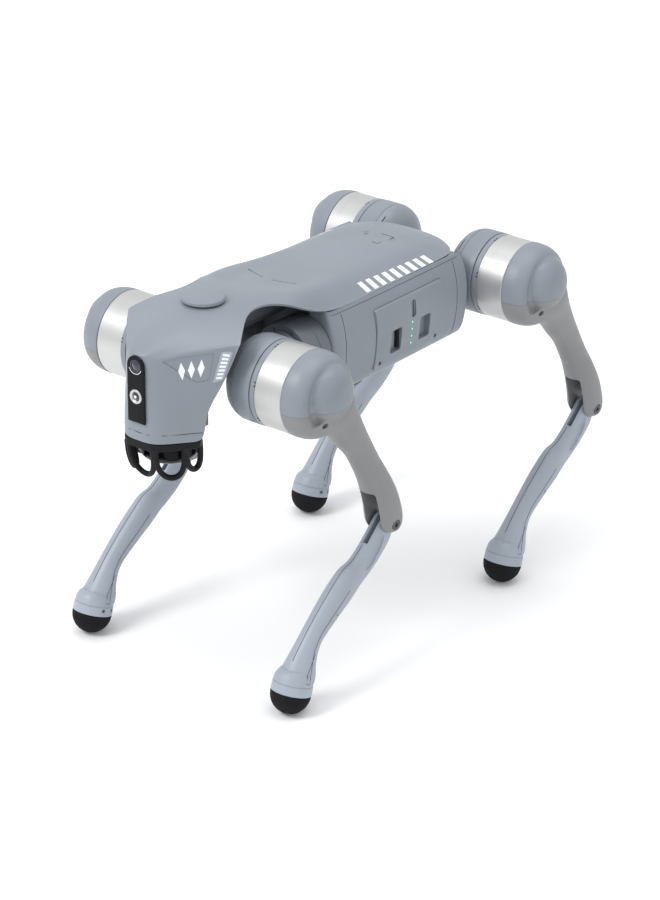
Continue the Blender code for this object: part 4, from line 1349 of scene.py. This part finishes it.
def build_face():
    """The glossy strip on the nose with its camera and its headlight."""
    steps = 20
    outline = [(-0.0112, -0.0260), (0.0112, -0.0260)]
    for step in range(steps + 1):
        angle = math.pi * step / steps
        outline.append((0.0112 * math.cos(angle), 0.0368 + 0.0112 * math.sin(angle)))
    rings = []
    for x, inset in ((0.3168, 0.0), (0.3186, 0.0), (0.3191, 0.0003), (0.3192, 0.0008)):
        wide, tall = 1 - inset / 0.0112, 1 - inset / 0.037
        rings.append([(x, y * wide, 0.011 + (z - 0.011) * tall) for y, z in outline])
    face = loft("face_panel_look", rings)
    for height, radius in ((CAMERA_Z, 0.0073), (HEADLIGHT_Z, 0.0083)):
        face = carved(face, bar("pocket", radius, (0.3178, 0, height), (0.3300, 0, height), 40))
    add(face, "trunk", GLOSS, "black_gloss", ("face_panel",))
    profile = [(0, -0.0002), (0.0070, -0.0002), (0.0070, 0.0008), (0.0064, 0.0012), (0.0058, 0.0012)]
    profile += [(0.0054, 0.0004), (0.0046, 0.0006), (0.0030, 0.0013), (0.0015, 0.0017), (0, 0.0018)]
    lens = placed(turned("camera_lens_look", profile, 48), (0.3181, 0, CAMERA_Z), facing_front())
    add(lens, "trunk", GLASS, "lens_glass", ("camera_lens",))
    arc = []
    for step in range(15):
        angle = math.radians(200 + 140 * step / 14)
        arc.append((0.3190, 0.0086 * math.cos(angle), CAMERA_Z + 0.0086 * math.sin(angle)))
    add(tube("camera_arc", arc, 0.00042), "trunk", WHITE, "lamp_white")
    profile = [(0.0046, 0.0001), (0.0080, 0.0001), (0.0080, 0.0009), (0.0075, 0.0016)]
    profile += [(0.0066, 0.0019), (0.0056, 0.0016), (0.0050, 0.0010), (0.0046, 0.0001)]
    ring = placed(turned_ring("headlight_ring", profile, 56), (0.3181, 0, HEADLIGHT_Z), facing_front())
    add(ring, "trunk", SILVER, "motor_silver", ("headlight",))
    profile = [(0, 0), (0.0045, 0), (0.0045, 0.0004), (0.0036, 0.0010), (0.0020, 0.0014), (0, 0.0015)]
    bulb = placed(turned("headlight_bulb", profile, 40), (0.3181, 0, HEADLIGHT_Z), facing_front())
    add(bulb, "trunk", GLASS, "lens_glass")
    # Painted highlight: a small white disc in front of the bulb stands for a glint on its glass.
    profile = [(0, 0), (0.0016, 0), (0.0016, 0.0003), (0.0010, 0.0006), (0, 0.0007)]
    painted_glint = placed(turned("headlight_painted_glint", profile, 32), (0.3196, 0, HEADLIGHT_Z), facing_front())
    add(painted_glint, "trunk", GLINT_WHITE, "lamp_white")


def build_head_disc():
    """The flat round disc on top of the head."""
    profile = [(0, 0), (0.0230, 0), (0.0230, 0.0026), (0.0226, 0.0033)]
    profile += [(0.0216, 0.0038), (0.0200, 0.0040), (0, 0.0040)]
    disc = placed(turned("head_disc_look", profile, 96), (0.2115, 0, 0.0766))
    add(disc, "trunk", SHELL, "shell_paint", ("head_disc",))


def turned_ring(name, profile, steps):
    """A closed ring turned about local Z from a closed (radius, height) loop."""
    rings = []
    for step in range(steps + 1):
        angle = 2 * math.pi * step / steps
        across, along = math.cos(angle), math.sin(angle)
        rings.append([(radius * across, radius * along, height) for radius, height in profile[:-1]])
    return loft(name, rings, caps=False)


def guard_plan(shrink):
    """(x, y) points round the guard's band, drawn in by a little."""
    left = [(x - shrink, y - shrink * 0.9) for x, y in GUARD_PLAN]
    corners = [(x, y, 0) for x, y in left] + [(x, -y, 0) for x, y in reversed(left)]
    return [(x, y) for x, y, _ in rounded(corners, 0.005)]


def hoop(start, end, low, depth, radius):
    """A wire that hangs between two points of the guard."""
    steps = 24
    points = []
    for step in range(steps + 1):
        angle = math.pi * step / steps
        along = lerp(start, end, (1 - math.cos(angle)) / 2)
        curve = math.sin(angle)
        x, y = along[0] - 0.008 * curve, along[1] - along[1] * 0.10 * curve
        points.append((x, y, low - depth * curve ** 0.6))
    return tube("hoop", points, radius, 4)


def build_scanner():
    """The scanner under the chin: its guard of hoops, its base and the part that spins."""
    low = -0.0560
    inner = guard_plan(0.0045)
    band_rings = []
    for z, inset in ((low, 0.0006), (low + 0.0006, 0.0), (-0.0484, 0.0), (-0.0478, 0.0006)):
        band_rings.append([(x, y, z) for x, y in guard_plan(inset)])
    band = loft("lidar_guard_look", band_rings)
    hollow = loft("hollow", [[(x, y, z) for x, y in inner] for z in (-0.070, -0.0500)])
    well = bar("well", 0.0276, (SCANNER_X, 0, -0.0520), (SCANNER_X, 0, -0.0400), 48)
    band = carved(band, hollow, well)
    spots = [(0.3145, 0.0195), (0.2900, 0.0400), (0.2680, 0.0425)]
    hoops = [hoop((0.3130, -0.0165, 0), (0.3130, 0.0165, 0), low + 0.003, 0.036, 0.0031)]
    for side in (1, -1):
        for index, (near, far) in enumerate(zip(spots, spots[1:])):
            start = (near[0] - 0.002, side * (near[1] - 0.0005), 0)
            end = (far[0] - 0.002, side * (far[1] - 0.0025), 0)
            hoops.append(hoop(start, end, low + 0.003, 0.038 - 0.005 * index, 0.0032))
    add(joined("lidar_guard_look", [band] + hoops), "trunk", FRAME, "dark_frame", ("lidar_guard",), 40)
    keys = [(0, -0.0440), (0.0240, -0.0440), (0.0240, -0.0506), (0.0330, -0.0506)]
    keys += [(0.0335, -0.0511), (0.0335, -0.0545), (0.0328, -0.0548), (0.0328, -0.0554)]
    keys += [(0.0335, -0.0557), (0.0335, -0.0606), (0.0330, -0.0610), (0, -0.0610)]
    base = placed(turned("lidar_base_look", keys), (SCANNER_X, 0, 0))
    add(base, "trunk", FRAME, "dark_frame", ("lidar_base",))
    keys = [(0, -0.0613), (0.0333, -0.0613), (0.0335, -0.0618), (0.0335, -0.0700)]
    keys += [(0.0329, -0.0716), (0.0312, -0.0742), (0.0290, -0.0773), (0.0255, -0.0797)]
    keys += [(0.0215, -0.0817), (0.0165, -0.0833), (0.0090, -0.0845), (0, -0.0850)]
    rotor = turned("lidar_rotor_look", keys)
    rotor = carved(rotor, block("slot", (0.026, -0.0060, -0.0690), (0.040, 0.0060, -0.0640), 0.001))
    placed(rotor, (SCANNER_X, 0, 0))
    add(rotor, "scanner", GLOSS, "black_gloss", ("lidar_rotor",))


def build_hip_motors():
    """Each abduction motor: a drum with a bolted rim that faces the neck of its leg's housing."""
    for leg, (front, _) in LEGS.items():
        low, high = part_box(leg + "_hip_motor")
        middle = (low + high) / 2
        radius = (high.y - low.y) / 2
        half = (high.x - low.x) / 2
        profile = [(0, -half), (radius - 0.0016, -half), (radius - 0.0004, -half + 0.0010)]
        profile += [(radius, -half + 0.0030), (radius, -0.0030), (radius - 0.0006, -0.0026)]
        profile += [(radius - 0.0006, -0.0018), (radius, -0.0014)]
        profile += [(radius, half - 0.0030), (radius - 0.0010, half - 0.0006), (radius - 0.0030, half)]
        profile += [(0.0275, half), (0.0272, half - 0.0008), (0, half - 0.0008)]
        drum = turned("drum", profile)
        holes = []
        for step in range(8):
            angle = math.radians(22.5 + 45 * step)
            spot = Vector((math.cos(angle) * 0.0312, math.sin(angle) * 0.0312, 0))
            start, end = (spot + Vector((0, 0, half + level)) for level in (-0.0020, 0.002))
            holes.append(bar("hole", 0.0017, start, end, 16))
        drum = carved(drum, *holes)
        placed(drum, middle, Matrix.Rotation(math.radians(90 if front > 0 else -90), 4, "Y"))
        drum.name = drum.data.name = leg + "_hip_motor_look"
        piece(drum, "trunk", DRUM, "dark_frame", (leg + "_hip_motor",))


def paint_frame():
    """CAD parts that stay visible are given their look."""
    # The chassis takes the darkened copy of the shell paint, a painted shade for the inside of the arches.
    looks = {"chassis": INNER_SHADE}
    for leg in LEGS:
        looks[leg + "_knee_motor"] = SILVER
        looks[leg + "_knee_crank"] = STEEL
        looks[leg + "_knee_rod"] = STEEL
    for name, look in looks.items():
        node = frame["nodes"][name]
        node.data.materials.clear()
        node.data.materials.append(look)
        if name != "chassis":
            limit = math.radians(40)
            edge = modified(node, "BEVEL", width=0.0004, segments=2, limit_method="ANGLE", angle_limit=limit)
            edge.use_clamp_overlap = True


# ---- stage -------------------------------------------------------------------------------------

def build_stage():
    """A pale floor, an even sky and three soft lamps."""
    floor = block("floor", (-6, -6, -0.02), (6, 6, 0.0))
    nodes = Nodes("floor_look")
    spots = nodes.spread(nodes.noise(3.0, 2.0), 0.3, 0.7, 0.0, 1.0)
    tone = nodes.mix(spots, (0.93, 0.93, 0.93), (0.95, 0.95, 0.95))
    nodes.link(tone, nodes.shader.inputs["Base Color"])
    nodes.shader.inputs["Roughness"].default_value = 0.9
    floor.data.materials.append(nodes.material)
    world = bpy.data.worlds.new("studio")
    SCENE.world = world
    world.use_nodes = True
    world.node_tree.nodes["Background"].inputs["Color"].default_value = (0.97, 0.985, 1.0, 1.0)
    world.node_tree.nodes["Background"].inputs["Strength"].default_value = 0.92
    lamps = [
        ("key", (2.3, -0.9, 2.7), 1.5, 54.0),
        ("fill", (0.4, 3.0, 1.4), 2.4, 4.0),
        ("top", (-0.2, 0.1, 2.8), 2.2, 24.0),
    ]
    for name, spot, size, power in lamps:
        data = bpy.data.lights.new(name, "AREA")
        data.shape = "DISK"
        data.size = size
        data.energy = power
        lamp = bpy.data.objects.new(name, data)
        SCENE.collection.objects.link(lamp)
        lamp.location = spot
        aim = Vector((0, 0, 0.25)) - lamp.location
        lamp.rotation_euler = aim.to_track_quat("-Z", "Y").to_euler()


def build_camera():
    """The view of the photo, solved by matching points of the part to it."""
    data = bpy.data.cameras.new("camera")
    data.sensor_fit = "VERTICAL"
    data.sensor_height = 36
    data.lens = 119.93
    camera = bpy.data.objects.new("camera", data)
    SCENE.collection.objects.link(camera)
    forward = Vector((-0.7113, -0.5583, -0.4269)).normalized()
    right = forward.cross(Vector((0, 0, 1))).normalized()
    up = right.cross(forward)
    roll = math.radians(0.492)
    across = right * math.cos(roll) + up * math.sin(roll)
    above = up * math.cos(roll) - right * math.sin(roll)
    rows = [[across[row], above[row], -forward[row], 0] for row in range(3)] + [[0, 0, 0, 1]]
    camera.matrix_world = Matrix.Translation((2.389475, 1.87700, 1.61009)) @ Matrix(rows)
    SCENE.camera = camera
    SCENE.view_settings.view_transform = "Standard"


build_legs()
build_cover()
build_lower_shell()
build_belly()
build_battery()
build_face()
build_head_disc()
build_scanner()
build_hip_motors()
paint_frame()
build_stage()
build_camera()
